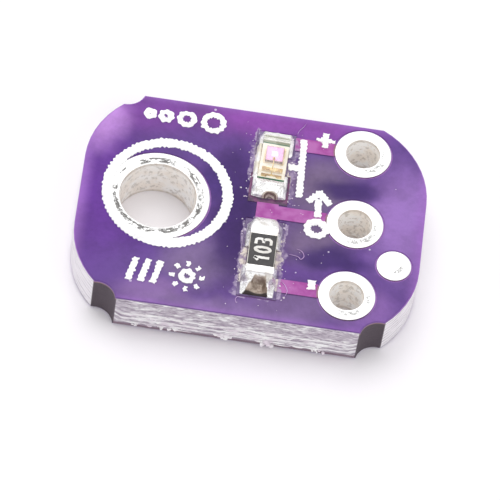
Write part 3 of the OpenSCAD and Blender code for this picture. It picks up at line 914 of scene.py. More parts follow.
@dataclass(frozen=True)
class TinFinish:
    """Tin on the rings and in the holes: bright, scored round the bore by the cutter, duller inside.

    Attributes:
        all_round: Share of scratches from which they go all round the ring, not just to one side.
        specked: Strength of the specks on the hole's wall.
        narrow: Radius of bore under which the wall has a light of its own, for what the floor sends up.
        deep_light: Strength of that light.
    """

    bright: str = "#ffffff"
    cloudy: str = "#cfccc8"
    scratch: str = "#4f4b48"
    inside: str = "#f6efe7"
    inside_light: str = "#ffffff"
    mouth: str = "#b9a898"
    all_round: float = 0.6
    speck: str = "#9a9188"
    specked: float = 0.4
    narrow: float = 0.8
    deep_light: float = 0.055
    metal: float = 0.75

    def build(self, name: str, centre: Vector, bore: float, place: Place, effects: Effects,
              scratched: float) -> Material:
        """Makes the material for one plated hole or dot.

        Args:
            name: Name of the material.
            centre: Middle of the hole.
            bore: Radius of the hole, or nought on the dot.
            place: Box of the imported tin.
            effects: Shared node groups.
            scratched: Share of the surface that may hold scratches.

        Returns:
            The material.
        """
        made = Finish(name)
        graph = made.graph
        flat = graph.moved(made.mm, tuple(centre), (1, 1, 0))
        x, y, _ = graph.split(flat)
        out = graph.vector("LENGTH", flat)
        turn = graph.add("ShaderNodeCombineXYZ")
        graph.feed(turn.inputs[0], graph.times(graph.math("ARCTAN2", y, x), 0.55 + bore * 0.6))
        graph.feed(turn.inputs[1], graph.times(out, 1.6))
        graph.feed(turn.inputs[2], centre.y)
        around = turn.outputs[0]
        marks = graph.group(effects.scratches, Vector=around, Scale=3.1, Cover=scratched).outputs[0]
        band = 0.14 if bore else 0.22
        ring = graph.absolute(graph.minus(out, bore + band))
        ring = graph.step(ring, 0.05, 0.05 + 0.14 * scratched, 1.0, 0.0)
        patchy = graph.step(graph.noise(around, 1.9, 2.0), 0.38, 0.48, 0.12, 1.0)
        ring = graph.times(ring, patchy)
        if scratched < self.all_round:
            slope = graph.math("DIVIDE", graph.minus(x, y), graph.math("MAXIMUM", out, 0.01))
            ring = graph.times(ring, graph.step(slope, 0.1, 1.0, 0.04, 0.7))
        scuff = graph.step(graph.noise(around, 7.0, 4.0, 0.75), 0.47, 0.53)
        marks = graph.times(graph.math("MAXIMUM", marks, graph.times(scuff, 0.85)), ring)
        cloud = graph.step(graph.noise(made.mm, 3.0, 4.0, 0.7), 0.42, 0.7, 0.0, 0.22)
        colour = graph.blend(cloud, self.bright, self.cloudy)
        colour = graph.blend(marks, colour, self.scratch)
        metal: object = self.metal
        if bore:
            wall = graph.step(out, bore + 0.02, bore + 0.008)
            stain = graph.noise(made.mm, 1.7, 4.0, 0.6)
            dull = graph.blend(graph.step(stain, 0.35, 0.65), self.inside, self.inside_light)
            specks = graph.noise(made.mm, 7.0, 3.0, 0.65)
            dull = graph.blend(graph.step(specks, 0.5, 0.62, 0.0, self.specked), dull, self.speck)
            half = place.size.z / 2
            off = graph.absolute(graph.minus(made.z, place.middle.z))
            dull = graph.blend(graph.step(off, half - 0.16, half - 0.05, 0.0, 0.5), dull, self.mouth)
            colour = graph.blend(wall, colour, dull)
            metal = graph.minus(self.metal, graph.times(wall, 0.6))
            if bore < self.narrow:
                made.set("Emission Color", dull)
                made.set("Emission Strength", graph.times(wall, self.deep_light))
        made.set("Base Color", colour)
        made.set("Metallic", metal)
        rough = graph.plus(0.3, graph.times(graph.noise(made.mm, 5.0, 3.0), 0.2))
        made.set("Roughness", graph.plus(rough, graph.times(marks, 0.3)))
        fine = graph.noise(made.mm, 6.0, 4.0, 0.6)
        made.bump(graph.minus(fine, graph.times(marks, 0.8)), 0.012, 0.4)
        return made.material


@dataclass(frozen=True)
class SolderMark:
    """A brown mark on a joint: a hollow between two bright streaks, its low end darkened with painted
    shade, or a small ringed dent.

    Attributes:
        toe: Place of the mark's foot.
        reach: Length of the mark, up the joint.
        streaked: Whether it is the hollow.
        streaks: Start, run and half width of the streak to the left and of the one to the right.
    """

    toe: Vector
    reach: float
    streaked: bool
    middle: str = "#7b6a5e"
    around: str = "#b7a89b"
    # Painted shade at the low end of the hollow.
    foot: str = "#2f2524"
    streaks: tuple[tuple[float, float, float], ...] = ((-0.50, 0.30, 0.11), (-0.37, 0.10, 0.065))

    def paint(self, made: Finish, colour: object) -> tuple[object, object]:
        """Lays the mark over a colour.

        Args:
            made: Finish that it is part of.
            colour: Colour of the clean solder.

        Returns:
            The new colour, and how far the mark covers each place.
        """
        graph = made.graph
        local = graph.moved(made.mm, tuple(self.toe), (1, 1, 1))
        x, y, _ = graph.split(local)
        swirl = graph.noise(made.mm, 4.2, 4.0, 0.65)
        sway = graph.times(graph.minus(swirl, 0.5), 0.12)
        x = graph.plus(x, sway)
        if not self.streaked:
            away = graph.vector("LENGTH", graph.moved(local, (0.03, 0.02, 0), (0.25, self.reach, 0)))
            away = graph.plus(away, graph.times(sway, 2.6))
            cover = graph.step(away, 0.9, 1.05, 1.0, 0.0)
            rings = graph.math("SINE", graph.times(away, 17.0))
            tone = graph.blend(graph.step(rings, -0.4, 0.5), self.middle, self.around)
            return graph.blend(cover, colour, tone), cover
        climb = graph.math("DIVIDE", y, self.reach)
        cover = graph.step(graph.plus(climb, graph.times(sway, 2.0)), 0.86, 1.0, 1.0, 0.0)
        cover = graph.times(cover, graph.step(graph.absolute(x), 0.5, 0.44))
        for side, (start, run, width) in zip((x, graph.times(x, -1.0)), self.streaks):
            centre = graph.plus(start, graph.times(climb, run))
            off = graph.minus(side, centre)
            cover = graph.times(cover, graph.step(off, width * 0.75, width * 1.1))
        tone = graph.blend(graph.step(swirl, 0.40, 0.62), self.middle, self.around)
        # Painted shade: the low end of the hollow, by the toe, turns nearly black.
        low = graph.step(graph.plus(climb, graph.times(graph.absolute(x), -0.15)), 0.04, 0.13)
        tone = graph.blend(low, self.foot, tone)
        return graph.blend(cover, colour, tone), cover


@dataclass(frozen=True)
class SolderFinish:
    """Bright solder with dull wrinkled patches and dried flux where it thins out; on the dented joint that
    thin skirt is painted shadow.
    """

    floor: float
    brown: float = 0.5
    mark: Optional[SolderMark] = None
    bright: str = "#ffffff"
    dull: str = "#b3a89c"
    vein: str = "#6b635c"
    skirt: str = "#77628f"
    skirt_dark: str = "#57406f"
    metal: float = 0.7

    def build(self, name: str, effects: Effects) -> Material:
        """Makes the material.

        Args:
            name: Name of the material.
            effects: Shared node groups.

        Returns:
            The material.
        """
        made = Finish(name)
        graph = made.graph
        patch = graph.noise(made.mm, 2.6, 4.0, 0.6)
        dull = graph.times(graph.step(patch, 0.5, 0.66), self.brown)
        colour = graph.blend(dull, self.bright, self.dull)
        veins = graph.group(effects.scratches, Vector=made.mm, Scale=4.0, Cover=0.5).outputs[0]
        colour = graph.blend(graph.times(veins, 0.5), colour, self.vein)
        metal: object = self.metal
        if self.mark:
            colour, cover = self.mark.paint(made, colour)
            metal = graph.minus(self.metal, graph.times(cover, 0.4))
        thin = graph.step(made.z, self.floor + 0.02, self.floor + 0.045, 1.0, 0.0)
        skirt = graph.blend(graph.step(patch, 0.4, 0.6), self.skirt, self.skirt_dark)
        colour = graph.blend(thin, colour, skirt)
        made.set("Base Color", colour)
        made.set("Metallic", graph.times(metal, graph.minus(1.0, thin)))
        made.set("Roughness", graph.plus(0.22, graph.times(patch, 0.25)))
        made.bump(graph.noise(made.mm, 6.5, 5.0, 0.65), 0.03, 0.5)
        return made.material


class PlainKind(Enum):
    """The finishes that differ only in their values.

    Each has a name, a light and a dark tone, then metal, roughness, scale of the grain and its depth.
    """

    COPPER = ("tarnished_copper", "#9c7a86", "#76505f", 0.3, 0.5, 8.0, 0.01)
    PRINT = ("white_print", "#ffffff", "#f6f5f6", 0.0, 0.6, 6.0, 0.012)
    PALE = ("pale_plating", "#fbeed8", "#e6d0ac", 0.3, 0.4, 8.0, 0.006)
    TERMINAL = ("terminal_plating", "#efecea", "#c9c4be", 0.85, 0.3, 7.0, 0.01)
    GREEN = ("green_strip", "#1f6b46", "#15502f", 0.0, 0.35, 9.0, 0.006)
    GOLD = ("gold_pads", "#fae3a8", "#a5835a", 0.4, 0.36, 16.0, 0.006)
    CERAMIC = ("fired_ceramic", "#f0ece4", "#dcd4c4", 0.0, 0.55, 9.0, 0.008)
    FILM = ("resistive_film", "#3a3330", "#2b2624", 0.0, 0.6, 9.0, 0.006)
    GLAZE = ("black_glaze", "#322e30", "#242123", 0.0, 0.42, 7.0, 0.010)
    CODE = ("code_print", "#f4f2ef", "#dedbd6", 0.0, 0.55, 9.0, 0.006)
    CRUMB = ("dried_crumbs", "#f6eff8", "#d3c3d9", 0.0, 0.45, 9.0, 0.01)
    FLUX = ("dried_flux", "#e9dfd2", "#937fa0", 0.0, 0.35, 12.0, 0.03)
    BEAD = ("pale_flux", "#ffffff", "#e6decb", 0.0, 0.3, 6.0, 0.02)
    FIBRE = ("glass_strands", "#ffffff", "#e6dbe5", 0.0, 0.5, 9.0, 0.01)
    HAIR = ("lint", "#d9b9e6", "#b48cc9", 0.0, 0.5, 9.0, 0.004)

    def build(self) -> Material:
        """Returns the finish: two close tones in soft blotches, over a fine grain."""
        name, light, dark, metal, rough, scale, depth = self.value
        made = Finish(name, Metallic=metal)
        graph = made.graph
        blotch = graph.noise(made.mm, scale / 3, 3.0, 0.55)
        made.set("Base Color", graph.blend(graph.step(blotch, 0.35, 0.65), light, dark))
        fine = graph.noise(made.mm, scale * 2, 4.0, 0.6)
        made.set("Roughness", graph.plus(rough - 0.06, graph.times(fine, 0.12)))
        made.bump(fine, depth, 0.5)
        return made.material


@dataclass
class Board:
    """Laminate, copper and mask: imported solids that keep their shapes."""

    layout: Layout
    effects: Effects

    def build(self, shop: Workshop) -> None:
        """Gives each layer its finish.

        Args:
            shop: Where pieces are made.
        """
        shop.dress("laminate", LaminateFinish().build(self.layout, self.effects))
        shop.dress("top_mask", MaskFinish().build(self.layout, self.effects, "violet_mask", True))
        shop.dress("bottom_mask", MaskFinish().build(self.layout, self.effects, "violet_mask_below", False))
        copper = PlainKind.COPPER.build()
        for net in ("supply", "output", "ground", "mounting", "dot"):
            shop.dress(f"copper_{net}", copper)


@dataclass
class TinWork:
    """The tin on the rings, the hole walls and the dot, with the rounded edges of a dipped coat.

    Attributes:
        steps: Number of sides of the turned forms.
        lip: Radius of the rounded mouth of a hole.
        sag: How much lower the ring is at its outer edge.
        coat: Thickness of the tin.
        swell: How much its surface rises and falls.
    """

    effects: Effects
    steps: int = 96
    lip: float = 0.035
    sag: float = 0.012
    coat: float = 0.025
    swell: float = 0.004

    def _tube(self, place: Place, bore: float) -> BMesh:
        """Turns the section of a plated hole's tin about its axis.

        Args:
            place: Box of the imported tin.
            bore: Radius of the hole.

        Returns:
            The closed tube with a ring at each end.
        """
        bm = bmesh.new()
        centre, low, high = place.middle, place.low.z, place.high.z
        rim, coat, inner = place.size.x / 2, self.coat, bore + self.lip
        section = []
        for sign, face in ((1, high), (-1, low)):
            lip = [(bore + self.lip * (1 - math.cos(t)), face - sign * self.lip * (1 - math.sin(t)))
                   for t in (math.radians(a) for a in (0, 30, 60, 90))]
            crown = [(inner + (rim - inner) * s, face - sign * self.sag * (2 * s - 1) ** 2 * 0.6)
                     for s in (0.25, 0.5, 0.75, 0.92)]
            edge = [(rim, face - sign * self.sag), (rim, face - sign * coat)]
            run = lip + crown + edge
            section += run if sign > 0 else run[::-1]
            if sign > 0:
                section += [(bore + coat, face - coat), (bore + coat, low + coat)]
        verts = [bm.verts.new((r, 0, z)) for r, z in section]
        edges = [bm.edges.new((a, b)) for a, b in zip(verts, verts[1:] + verts[:1])]
        bmesh.ops.spin(bm, geom=verts + edges, cent=(0, 0, 0), axis=(0, 0, 1), angle=2 * math.pi,
                       steps=self.steps, use_merge=True)
        bmesh.ops.remove_doubles(bm, verts=bm.verts, dist=1e-5)
        for vert in bm.verts:
            out = Vector((vert.co.x, vert.co.y)).length
            if vert.co.z > high - coat / 2 and out > inner:
                vert.co.z += self.swell * (wobble(vert.co.x, vert.co.y, centre.x, 2.0) - 0.5)
        bmesh.ops.translate(bm, vec=(centre.x, centre.y, 0), verts=bm.verts)
        return bm

    def build(self, shop: Workshop) -> None:
        """Makes the four tinned barrels and the dot.

        Args:
            shop: Where pieces are made.
        """
        for net, bore, scratched in (("supply", 0.5, 0.46), ("output", 0.5, 0.5), ("ground", 0.5, 0.46),
                                     ("mounting", 1.125, 0.62)):
            place = Place(f"barrel_{net}")
            finish = TinFinish().build(f"tin_{net}", place.middle, bore, place, self.effects, scratched)
            shop.piece(self._tube(place, bore), f"rounded_{net}_tin", finish, "tin",
                       replaces=(f"barrel_{net}",))
        place = Place("dot_tin")
        bm = bmesh.new()
        radius, height = place.size.x / 2, place.size.z
        bmesh.ops.create_circle(bm, cap_ends=True, segments=self.steps, radius=radius)
        bmesh.ops.extrude_face_region(bm, geom=bm.faces[:])
        top = [f for f in bm.faces if len(f.verts) == self.steps][-1:]
        bmesh.ops.translate(bm, vec=(0, 0, height * 0.5), verts=top[0].verts)
        for share, rise in ((0.97, 0.8), (0.88, 1.0), (0.5, 1.0), (0.1, 1.0)):
            bmesh.ops.inset_region(bm, faces=top, thickness=0.0001)
            for vert in top[0].verts:
                flat = Vector((vert.co.x, vert.co.y)).normalized() * radius * share
                vert.co = (flat.x, flat.y, height * rise)
        bmesh.ops.translate(bm, vec=(place.middle.x, place.middle.y, place.low.z), verts=bm.verts)
        finish = TinFinish().build("tin_dot", place.middle, 0.0, place, self.effects, 0.35)
        shop.piece(bm, "rounded_dot_tin", finish, "tin", replaces=("dot_tin",))


@dataclass
class PrintWork:
    """White print on the mask, with the ragged edges that its coarse screen leaves.

    Attributes:
        extra: How much thicker each band is than the one before.
        bands: Number of bands laid so far, counted in fives.
    """

    layout: Layout
    thick: float = 0.026
    ragged: float = 0.028
    mark_width: float = 0.2
    ring_line: float = 0.3
    extra: float = 0.0011
    bands: int = 0

    def _band(self, bm: BMesh, path: Sequence[Vector], width: float, closed: bool = False) -> None:
        """Lays one band of print on the mask, a little thicker than the one before, so none share a face.

        Args:
            bm: Mesh that it is added to.
            path: Its middle line.
            width: Its width.
            closed: Whether it ends where it starts.
        """
        self.bands = (self.bands + 1) % 5
        ribbon(bm, path, width, self.ragged, self.thick + self.extra * self.bands, self.layout.surface,
               closed)

    def _hole_ring(self) -> BMesh:
        """Returns the printed ring, raised over the tinned ring where it slipped on to it."""
        place, hole = Place("hole_ring_print"), self.layout.ring
        outer = place.size.x / 2
        middle = (place.high.x - outer, place.high.y - outer)
        bm = bmesh.new()
        reach = outer - self.ring_line / 2
        self._band(bm, loop(middle, reach, reach), self.ring_line, True)
        top = hole.high.z + self.thick
        for vert in bm.verts:
            away = math.hypot(vert.co.x - hole.middle.x, vert.co.y - hole.middle.y)
            upper = vert.co.z > self.layout.surface(vert.co.x, vert.co.y) + self.thick / 2
            if away < hole.size.x / 2 + 0.09 and upper:
                vert.co.z = max(vert.co.z, top)
        return bm

    def _sensor_line(self) -> BMesh:
        """Returns the line beside the sensor, with its stub and its foot."""
        place = Place("sensor_line_print")
        right, bottom, top = place.high.x - self.mark_width / 2, place.low.y, place.high.y
        bm = bmesh.new()
        self._band(bm, walk([(right - 0.03, top), (right + 0.03, bottom)]), self.mark_width)
        middle = (bottom + top) / 2
        self._band(bm, walk([(place.low.x, middle), (right, middle)]), self.mark_width)
        return bm

    def _signs(self) -> BMesh:
        """Returns the plain marks of the three holes: plus, minus, and a ring with an arrow."""
        bm = bmesh.new()
        plus_and_minus = (((1.62, 2.94), (2.18, 2.93), 0.10), ((1.74, 2.94), (2.06, 2.93), 0.19),
                          ((1.90, 2.66), (1.89, 3.20), 0.19), ((2.0, -2.42), (2.0, -2.08), 0.22))
        for start, end, width in plus_and_minus:
            self._band(bm, walk([start, end]), width)
        self._band(bm, loop((1.94, -0.255), 0.27, 0.235), self.mark_width, True)
        arrow = (((1.93, 0.14), (1.92, 0.80)), ((1.60, 0.68), (1.95, 1.06)), ((1.89, 1.06), (2.26, 0.66)))
        for line in arrow:
            self._band(bm, walk(line), self.mark_width)
        return bm

    def _light_symbol(self) -> BMesh:
        """Returns a plain sun with rays and three slanted beams."""
        bm = bmesh.new()
        sun, reach = (-1.62, -2.56), 0.17
        self._band(bm, loop(sun, reach, reach), 0.16, True)
        for i in range(8):
            turn = math.pi * i / 4
            ray = [(sun[0] + r * math.cos(turn), sun[1] + r * math.sin(turn)) for r in (0.36, 0.52)]
            self._band(bm, walk(ray), 0.12)
        for i in range(3):
            start = -2.42 - 0.36 * i
            self._band(bm, walk([(start, -2.16), (start - 0.16, -2.96)]), 0.18)
        return bm

    def _bright_scale(self) -> BMesh:
        """Returns a row of rings that grow, as on a brightness knob."""
        bm = bmesh.new()
        for x, reach in ((-3.36, 0.11), (-2.88, 0.15), (-2.26, 0.21), (-1.46, 0.29)):
            self._band(bm, loop((x, 3.0), reach, reach), 0.17, True)
        return bm

    def build(self, shop: Workshop) -> None:
        """Makes every print.

        Args:
            shop: Where pieces are made.
        """
        ink = PlainKind.PRINT.build()
        for make, name, node in ((self._hole_ring, "ragged_hole_ring", ("hole_ring_print",)),
                                 (self._sensor_line, "ragged_sensor_line", ("sensor_line_print",)),
                                 (self._signs, "hole_signs", ()),
                                 (self._light_symbol, "sun_symbol", ()),
                                 (self._bright_scale, "brightness_scale", ())):
            shop.piece(make(), name, ink, "white_print", False, node)


@dataclass
class LightSensor:
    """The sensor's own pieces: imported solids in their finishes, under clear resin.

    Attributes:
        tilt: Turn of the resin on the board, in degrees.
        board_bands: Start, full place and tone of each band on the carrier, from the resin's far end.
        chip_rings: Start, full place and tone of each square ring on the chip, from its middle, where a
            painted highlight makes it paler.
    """

    tilt: float = -1.9
    board_bands: tuple[tuple[float, float, str], ...] = (
        (0.20, 0.185, "#2c6b4a"), (0.17, 0.14, "#8c9079"), (0.09, 0.05, "#f1f0ea"))
    chip_rings: tuple[tuple[float, float, str], ...] = (
        (0.2, 0.45, "#f3b3e4"), (0.78, 0.86, "#e6a9cf"), (0.93, 0.97, "#a08b90"))

    def _resin_block(self) -> BMesh:
        """Returns the clear block, its foot set into the carrier so that no air shows between them."""
        place = Place("clear_resin")
        turn = math.radians(self.tilt)
        sine, cosine = math.sin(abs(turn)), math.cos(turn)
        whole = cosine ** 2 - sine ** 2
        wide = (place.size.x * cosine - place.size.y * sine) / whole
        long = (place.size.y * cosine - place.size.x * sine) / whole
        bm = bmesh.new()
        bmesh.ops.create_cube(bm, size=1.0)
        bmesh.ops.scale(bm, vec=(wide, long, place.size.z + 0.01), verts=bm.verts)
        bmesh.ops.bevel(bm, geom=bm.edges[:], offset=0.022, segments=3, profile=0.5, affect="EDGES",
                        material=-1)
        bmesh.ops.rotate(bm, cent=(0, 0, 0), matrix=Matrix.Rotation(turn, 3, "Z"), verts=bm.verts)
        middle = place.middle
        bmesh.ops.translate(bm, vec=(middle.x, middle.y, middle.z - 0.005), verts=bm.verts)
        return bm

    @staticmethod
    def _resin_finish() -> Material:
        """Returns clear epoxy with a faint haze."""
        made = Finish("clear_epoxy", Transmission_Weight=1.0, IOR=1.5)
        graph = made.graph
        haze = graph.noise(made.mm, 4.0, 3.0)
        made.set("Base Color", graph.blend(haze, "#ffffff", "#f7f3ee"))
        made.set("Roughness", graph.times(haze, 0.08))
        made.bump(graph.noise(made.mm, 5.0, 2.0), 0.004, 0.4)
        sight = graph.add("ShaderNodeLightPath")
        clear = graph.add("ShaderNodeBsdfTransparent")
        mixed = graph.add("ShaderNodeMixShader")
        passing = graph.math("MAXIMUM", sight.outputs["Is Shadow Ray"], sight.outputs["Is Diffuse Ray"])
        graph.feed(mixed.inputs[0], passing)
        graph.feed(mixed.inputs[1], made.shader.outputs[0])
        graph.feed(mixed.inputs[2], clear.outputs[0])
        graph.feed(made.material.node_tree.nodes["Material Output"].inputs["Surface"], mixed.outputs[0])
        return made.material

    def _carrier_finish(self) -> Material:
        """Returns the carrier's cream board, with the green mask under the far end of the resin."""
        made = Finish("carrier_board", Roughness=0.5)
        graph = made.graph
        resin = Place("clear_resin")
        lean = math.tan(math.radians(self.tilt))
        far = graph.minus(made.y, graph.times(graph.minus(made.x, resin.middle.x), lean))
        colour = graph.blend(graph.noise(made.mm, 3.0, 3.0), "#fffdf4", "#f3ead6")
        for start, full, tone in self.board_bands:
            colour = graph.blend(graph.step(far, resin.high.y - start, resin.high.y - full), colour, tone)
        made.set("Base Color", colour)
        return made.material

    def _chip_finish(self) -> Material:
        """Returns the chip's pink face, with a paler square in the middle that is a painted highlight, and
        a fine border.
        """
        made = Finish("pink_oxide", Metallic=0.15)
        graph = made.graph
        middle = Place("sensing_chip").middle
        flat = graph.vector("ABSOLUTE", graph.moved(made.mm, tuple(middle), (0.25, 0.25, 0)))
        x, y, _ = graph.split(flat)
        out = graph.math("MAXIMUM", x, y)
        # Painted highlight: the middle of the chip is paler pink, fading out to its own pink and the
        # border.
        colour: object = "#fde2f6"
        for start, full, tone in self.chip_rings:
            colour = graph.blend(graph.step(out, start, full), colour, tone)
        made.set("Base Color", colour)
        made.set("Roughness", graph.plus(0.22, graph.times(graph.noise(made.mm, 9.0), 0.1)))
        return made.material

    def build(self, shop: Workshop) -> None:
        """Dresses the sensor.

        Args:
            shop: Where pieces are made.
        """
        plating, gold, green = PlainKind.TERMINAL.build(), PlainKind.GOLD.build(), PlainKind.GREEN.build()
        shop.dress("sensor_carrier", self._carrier_finish())
        for end in ("far", "near"):
            shop.dress(f"sensor_{end}_terminal", plating)
            shop.dress(f"sensor_{end}_strip", green)
            shop.dress(f"resistor_{end}_terminal", plating)
        shop.dress("chip_pad", PlainKind.PALE.build())
        for node in ("wire_pad", "bond_wire"):
            shop.dress(node, gold)
        shop.dress("sensing_chip", self._chip_finish())
        shop.piece(self._resin_block(), "resin_block", self._resin_finish(), "clear_resin",
                   replaces=("clear_resin",))


@dataclass
class ChipResistor:
    """The resistor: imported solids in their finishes, and the digits on its glaze."""

    layers: ClassVar[dict[PlainKind, str]] = {
        PlainKind.CERAMIC: "resistor_body", PlainKind.FILM: "resistor_film",
        PlainKind.GLAZE: "resistor_glaze"}
    stroke: float = 0.085
    ragged: float = 0.006
    ink: float = 0.006

    def _digits(self) -> BMesh:
        """Returns plain digits for a round value, read from the side of the board."""
        glaze = Place("resistor_glaze")
        top = glaze.high.z
        left, right = glaze.middle.x - 0.21, glaze.middle.x + 0.23
        bm = bmesh.new()

        def stroke(path: Sequence[Vector], closed: bool = False) -> None:
            """Lays one stroke of a digit on the glaze, at a height of its own."""
            over = 0.0008 * (len(bm.verts) % 7)
            ribbon(bm, path, self.stroke, self.ragged, self.ink + over, lambda x, y: top - 0.001, closed)

        near = glaze.middle.y - 0.26
        stroke(walk([(left, near - 0.02), (right, near - 0.02)]))
        stroke(walk([(left + 0.12, near - 0.12), (left, near - 0.02)]))
        half = (left + right) / 2
        stroke(loop((half, glaze.middle.y), (right - left) / 2, 0.085), True)
        far = glaze.middle.y + 0.27
        stroke(walk([(left, far - 0.09), (left, far + 0.06), (left + 0.06, far + 0.10),
                     (half - 0.06, far + 0.10), (half, far + 0.04), (half, far - 0.04)]))
        stroke(walk([(half, far + 0.04), (half + 0.06, far + 0.10), (right - 0.06, far + 0.10),
                     (right, far + 0.06), (right, far - 0.09)]))
        return bm

    def build(self, shop: Workshop) -> None:
        """Dresses the resistor.

        Args:
            shop: Where pieces are made.
        """
        for kind, node in self.layers.items():
            shop.dress(node, kind.build())
        shop.piece(self._digits(), "value_digits", PlainKind.CODE.build(), "white_print", False)


def heap(bm: BMesh, low: tuple[float, float], high: tuple[float, float], step: float,
         floor: float, height: Callable[[float, float], float]) -> None:
    """Adds a closed solid whose top is a height field.

    Args:
        bm: Mesh that it is added to.
        low: Lowest x and y of its plan.
        high: Highest x and y of its plan.
        step: Distance between its points.
        floor: Height of its flat underside.
        height: Height of its top at a place.
    """
    count = [max(2, round((b - a) / step)) for a, b in zip(low, high)]
    grid = bmesh.ops.create_grid(bm, x_segments=count[0], y_segments=count[1], size=1.0)["verts"]
    for vert in grid:
        x = low[0] + (vert.co.x + 1) / 2 * (high[0] - low[0])
        y = low[1] + (vert.co.y + 1) / 2 * (high[1] - low[1])
        vert.co = (x, y, max(height(x, y), floor + 0.002))
    faces = list(dict.fromkeys(f for v in grid for f in v.link_faces))
    under = bmesh.ops.extrude_face_region(bm, geom=faces, use_keep_orig=True)["geom"]
    for vert in under:
        if isinstance(vert, bmesh.types.BMVert):
            vert.co.z = floor


def ease(value: float, low: float, high: float) -> float:
    """Returns how far a value is on its way between two limits, eased at both ends."""
    t = min(1.0, max(0.0, (value - low) / (high - low)))
    return t * t * (3 - 2 * t)


def bell(value: float, width: float) -> float:
    """Returns one at nought, falling off smoothly over a width to both sides."""
    return math.exp(-(value / width) ** 2)


@dataclass(frozen=True)
class Fillet:
    """Heights at the toe and at the part, curve between them, brown stain, and run over the terminal."""

    toe: float
    climb: float
    power: float
    brown: float
    cover: float


class JointShape(Enum):
    """The four joints, each with its fillet."""

    PEAKED = Fillet(0.06, 0.46, 0.8, 0.30, 0.15)
    DENTED = Fillet(0.10, 0.27, 0.7, 0.25, 0.17)
    DOMED = Fillet(0.10, 0.47, 0.42, 0.50, 0.27)
    HOLLOW = Fillet(0.07, 0.44, 1.25, 0.55, 0.27)


@dataclass
class SolderJoint:
    """One solder joint: a soft heap over its land, run up the part's end and along its sides.

    Attributes:
        far: Whether it is at the far end of its part.
        land_reach: Half the width of the land.
        rim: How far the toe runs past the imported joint.
        skirt: How far the film of flux runs past the joint.
        lean: Slope of the part's end to the board, as it was soldered a little askew.
    """

    shape: JointShape
    joint: str
    terminal: str
    far: bool
    land_reach: float = 0.53
    rim: float = 0.03
    skirt: float = 0.055
    step: float = 0.018
    place: Place = field(init=False)
    part: Place = field(init=False)
    on_sensor: bool = field(init=False)
    lean: float = field(init=False)

    def __post_init__(self) -> None:
        """Reads the boxes once."""
        self.place, self.part = Place(self.joint), Place(self.terminal)
        self.on_sensor = self.shape in (JointShape.PEAKED, JointShape.DENTED)
        self.lean = SENSOR_LEAN if self.on_sensor else 0.0

    def _height(self, x: float, y: float) -> float:
        """Returns the height of the solder over its land at a place.

        Args:
            x: Place along the board.
            y: Place across the board.

        Returns:
            The height above the land, in millimetres.
        """
        fillet, part, place = self.shape.value, self.part, self.place
        sign = 1 if self.far else -1
        end = part.high.y if self.far else part.low.y
        stop = place.high.y + self.rim if self.far else place.low.y - self.rim
        middle = part.middle.x
        half = part.size.x / 2 - 0.005
        out = (y - end) * sign
        run = abs(stop - end)
        u = (x - middle) / self.land_reach
        share = min(1.0, abs(x - middle) / half)
        if self.shape is JointShape.PEAKED:
            run *= 1.0 - 0.5 * share
        elif self.shape is JointShape.DENTED:
            run *= 0.80 - 0.12 * share
        elif self.shape is JointShape.DOMED:
            run *= 1.0 - 0.35 * share ** 7
        aside = abs(x - middle) - half
        lump = 0.014 * wobble(x * 1.4, y, 4.0, 3.1) + 0.007 * wobble(x, y * 1.3, 9.0, 9.0)
        if out >= 0:
            s = max(0.0, 1 - out / run)
            toe, climb = fillet.toe, fillet.climb
            rise = toe + (climb - toe) * s ** fillet.power
            if self.shape is JointShape.HOLLOW:
                horns = bell(x - middle + 0.24, 0.13) + 0.85 * bell(x - middle - 0.27, 0.09)
                horns = min(1.0, horns + ease(s, 0.62, 0.95))
                rise = toe + (climb - toe) * (0.20 * s ** 2.6 + 0.80 * s ** 0.8 * horns)
            if self.shape is JointShape.DENTED:
                ring = math.hypot(x - middle - 0.04, (out - run) * 1.2)
                rise *= ease(ring, 0.10, 0.17) * 0.8 + 0.2
                rise += 0.03 * bell(ring - 0.2, 0.035)
            shoulder = 1 - max(0.0, aside) / (self.land_reach - half) * 0.8
            edge = min(1.0, max(0.0, (run - out) / 0.035)) ** 0.5
            height = rise * max(0.15, shoulder) * edge + lump * s
        elif aside > 0:
            reach = ease(-out, 0.62, 0.38)
            height = (0.13 if self.on_sensor else 0.2) * reach
            height *= 1 - aside / (self.land_reach - half) * 0.75
            height += lump
        elif out > -fillet.cover - sign * self.lean * (x - middle):
            over = part.high.z - place.low.z
            bare = ease(-out, fillet.cover + 0.05 * wobble(x * 3, 2.0, 1.0, 1.0), fillet.cover * 0.2)
            height = over - 0.004 + 0.035 * bare + 0.6 * lump
        else:
            height = 0.01
        rim = min(1.0, max(0.0, (1 - abs(u)) / 0.07)) ** 0.5
        return height * rim

    def build(self, shop: Workshop, effects: Effects) -> None:
        """Makes the joint.

        Args:
            shop: Where pieces are made.
            effects: Shared node groups.
        """
        middle, low, high = self.part.middle.x, self.place.low, self.place.high
        floor = low.z
        bm = bmesh.new()
        wide = self.land_reach + self.skirt
        heap(bm, (middle - wide, low.y - self.skirt), (middle + wide, high.y + self.skirt),
             self.step, floor, lambda x, y: floor + self._height(x, y))
        toe = Vector((middle, low.y, floor))
        finish = SolderFinish(floor, self.shape.value.brown)
        if self.shape is JointShape.HOLLOW:
            finish = replace(finish, mark=SolderMark(toe, self.part.low.y - low.y, True))
        if self.shape is JointShape.DENTED:
            mark = SolderMark(toe + Vector((0.02, 0.09, 0)), 0.16, False, "#75625a", "#c4b7ad")
            # Painted shadow: the dented joint's thin skirt is dark maroon, for the shadow under its toe
            # over the film of flux.
            finish = replace(finish, mark=mark, skirt="#6b2a60", skirt_dark="#3d1c45")
        made = finish.build(f"{self.joint}_finish", effects)
        shop.piece(bm, f"soft_{self.joint}", made, "solder", replaces=(self.joint,))


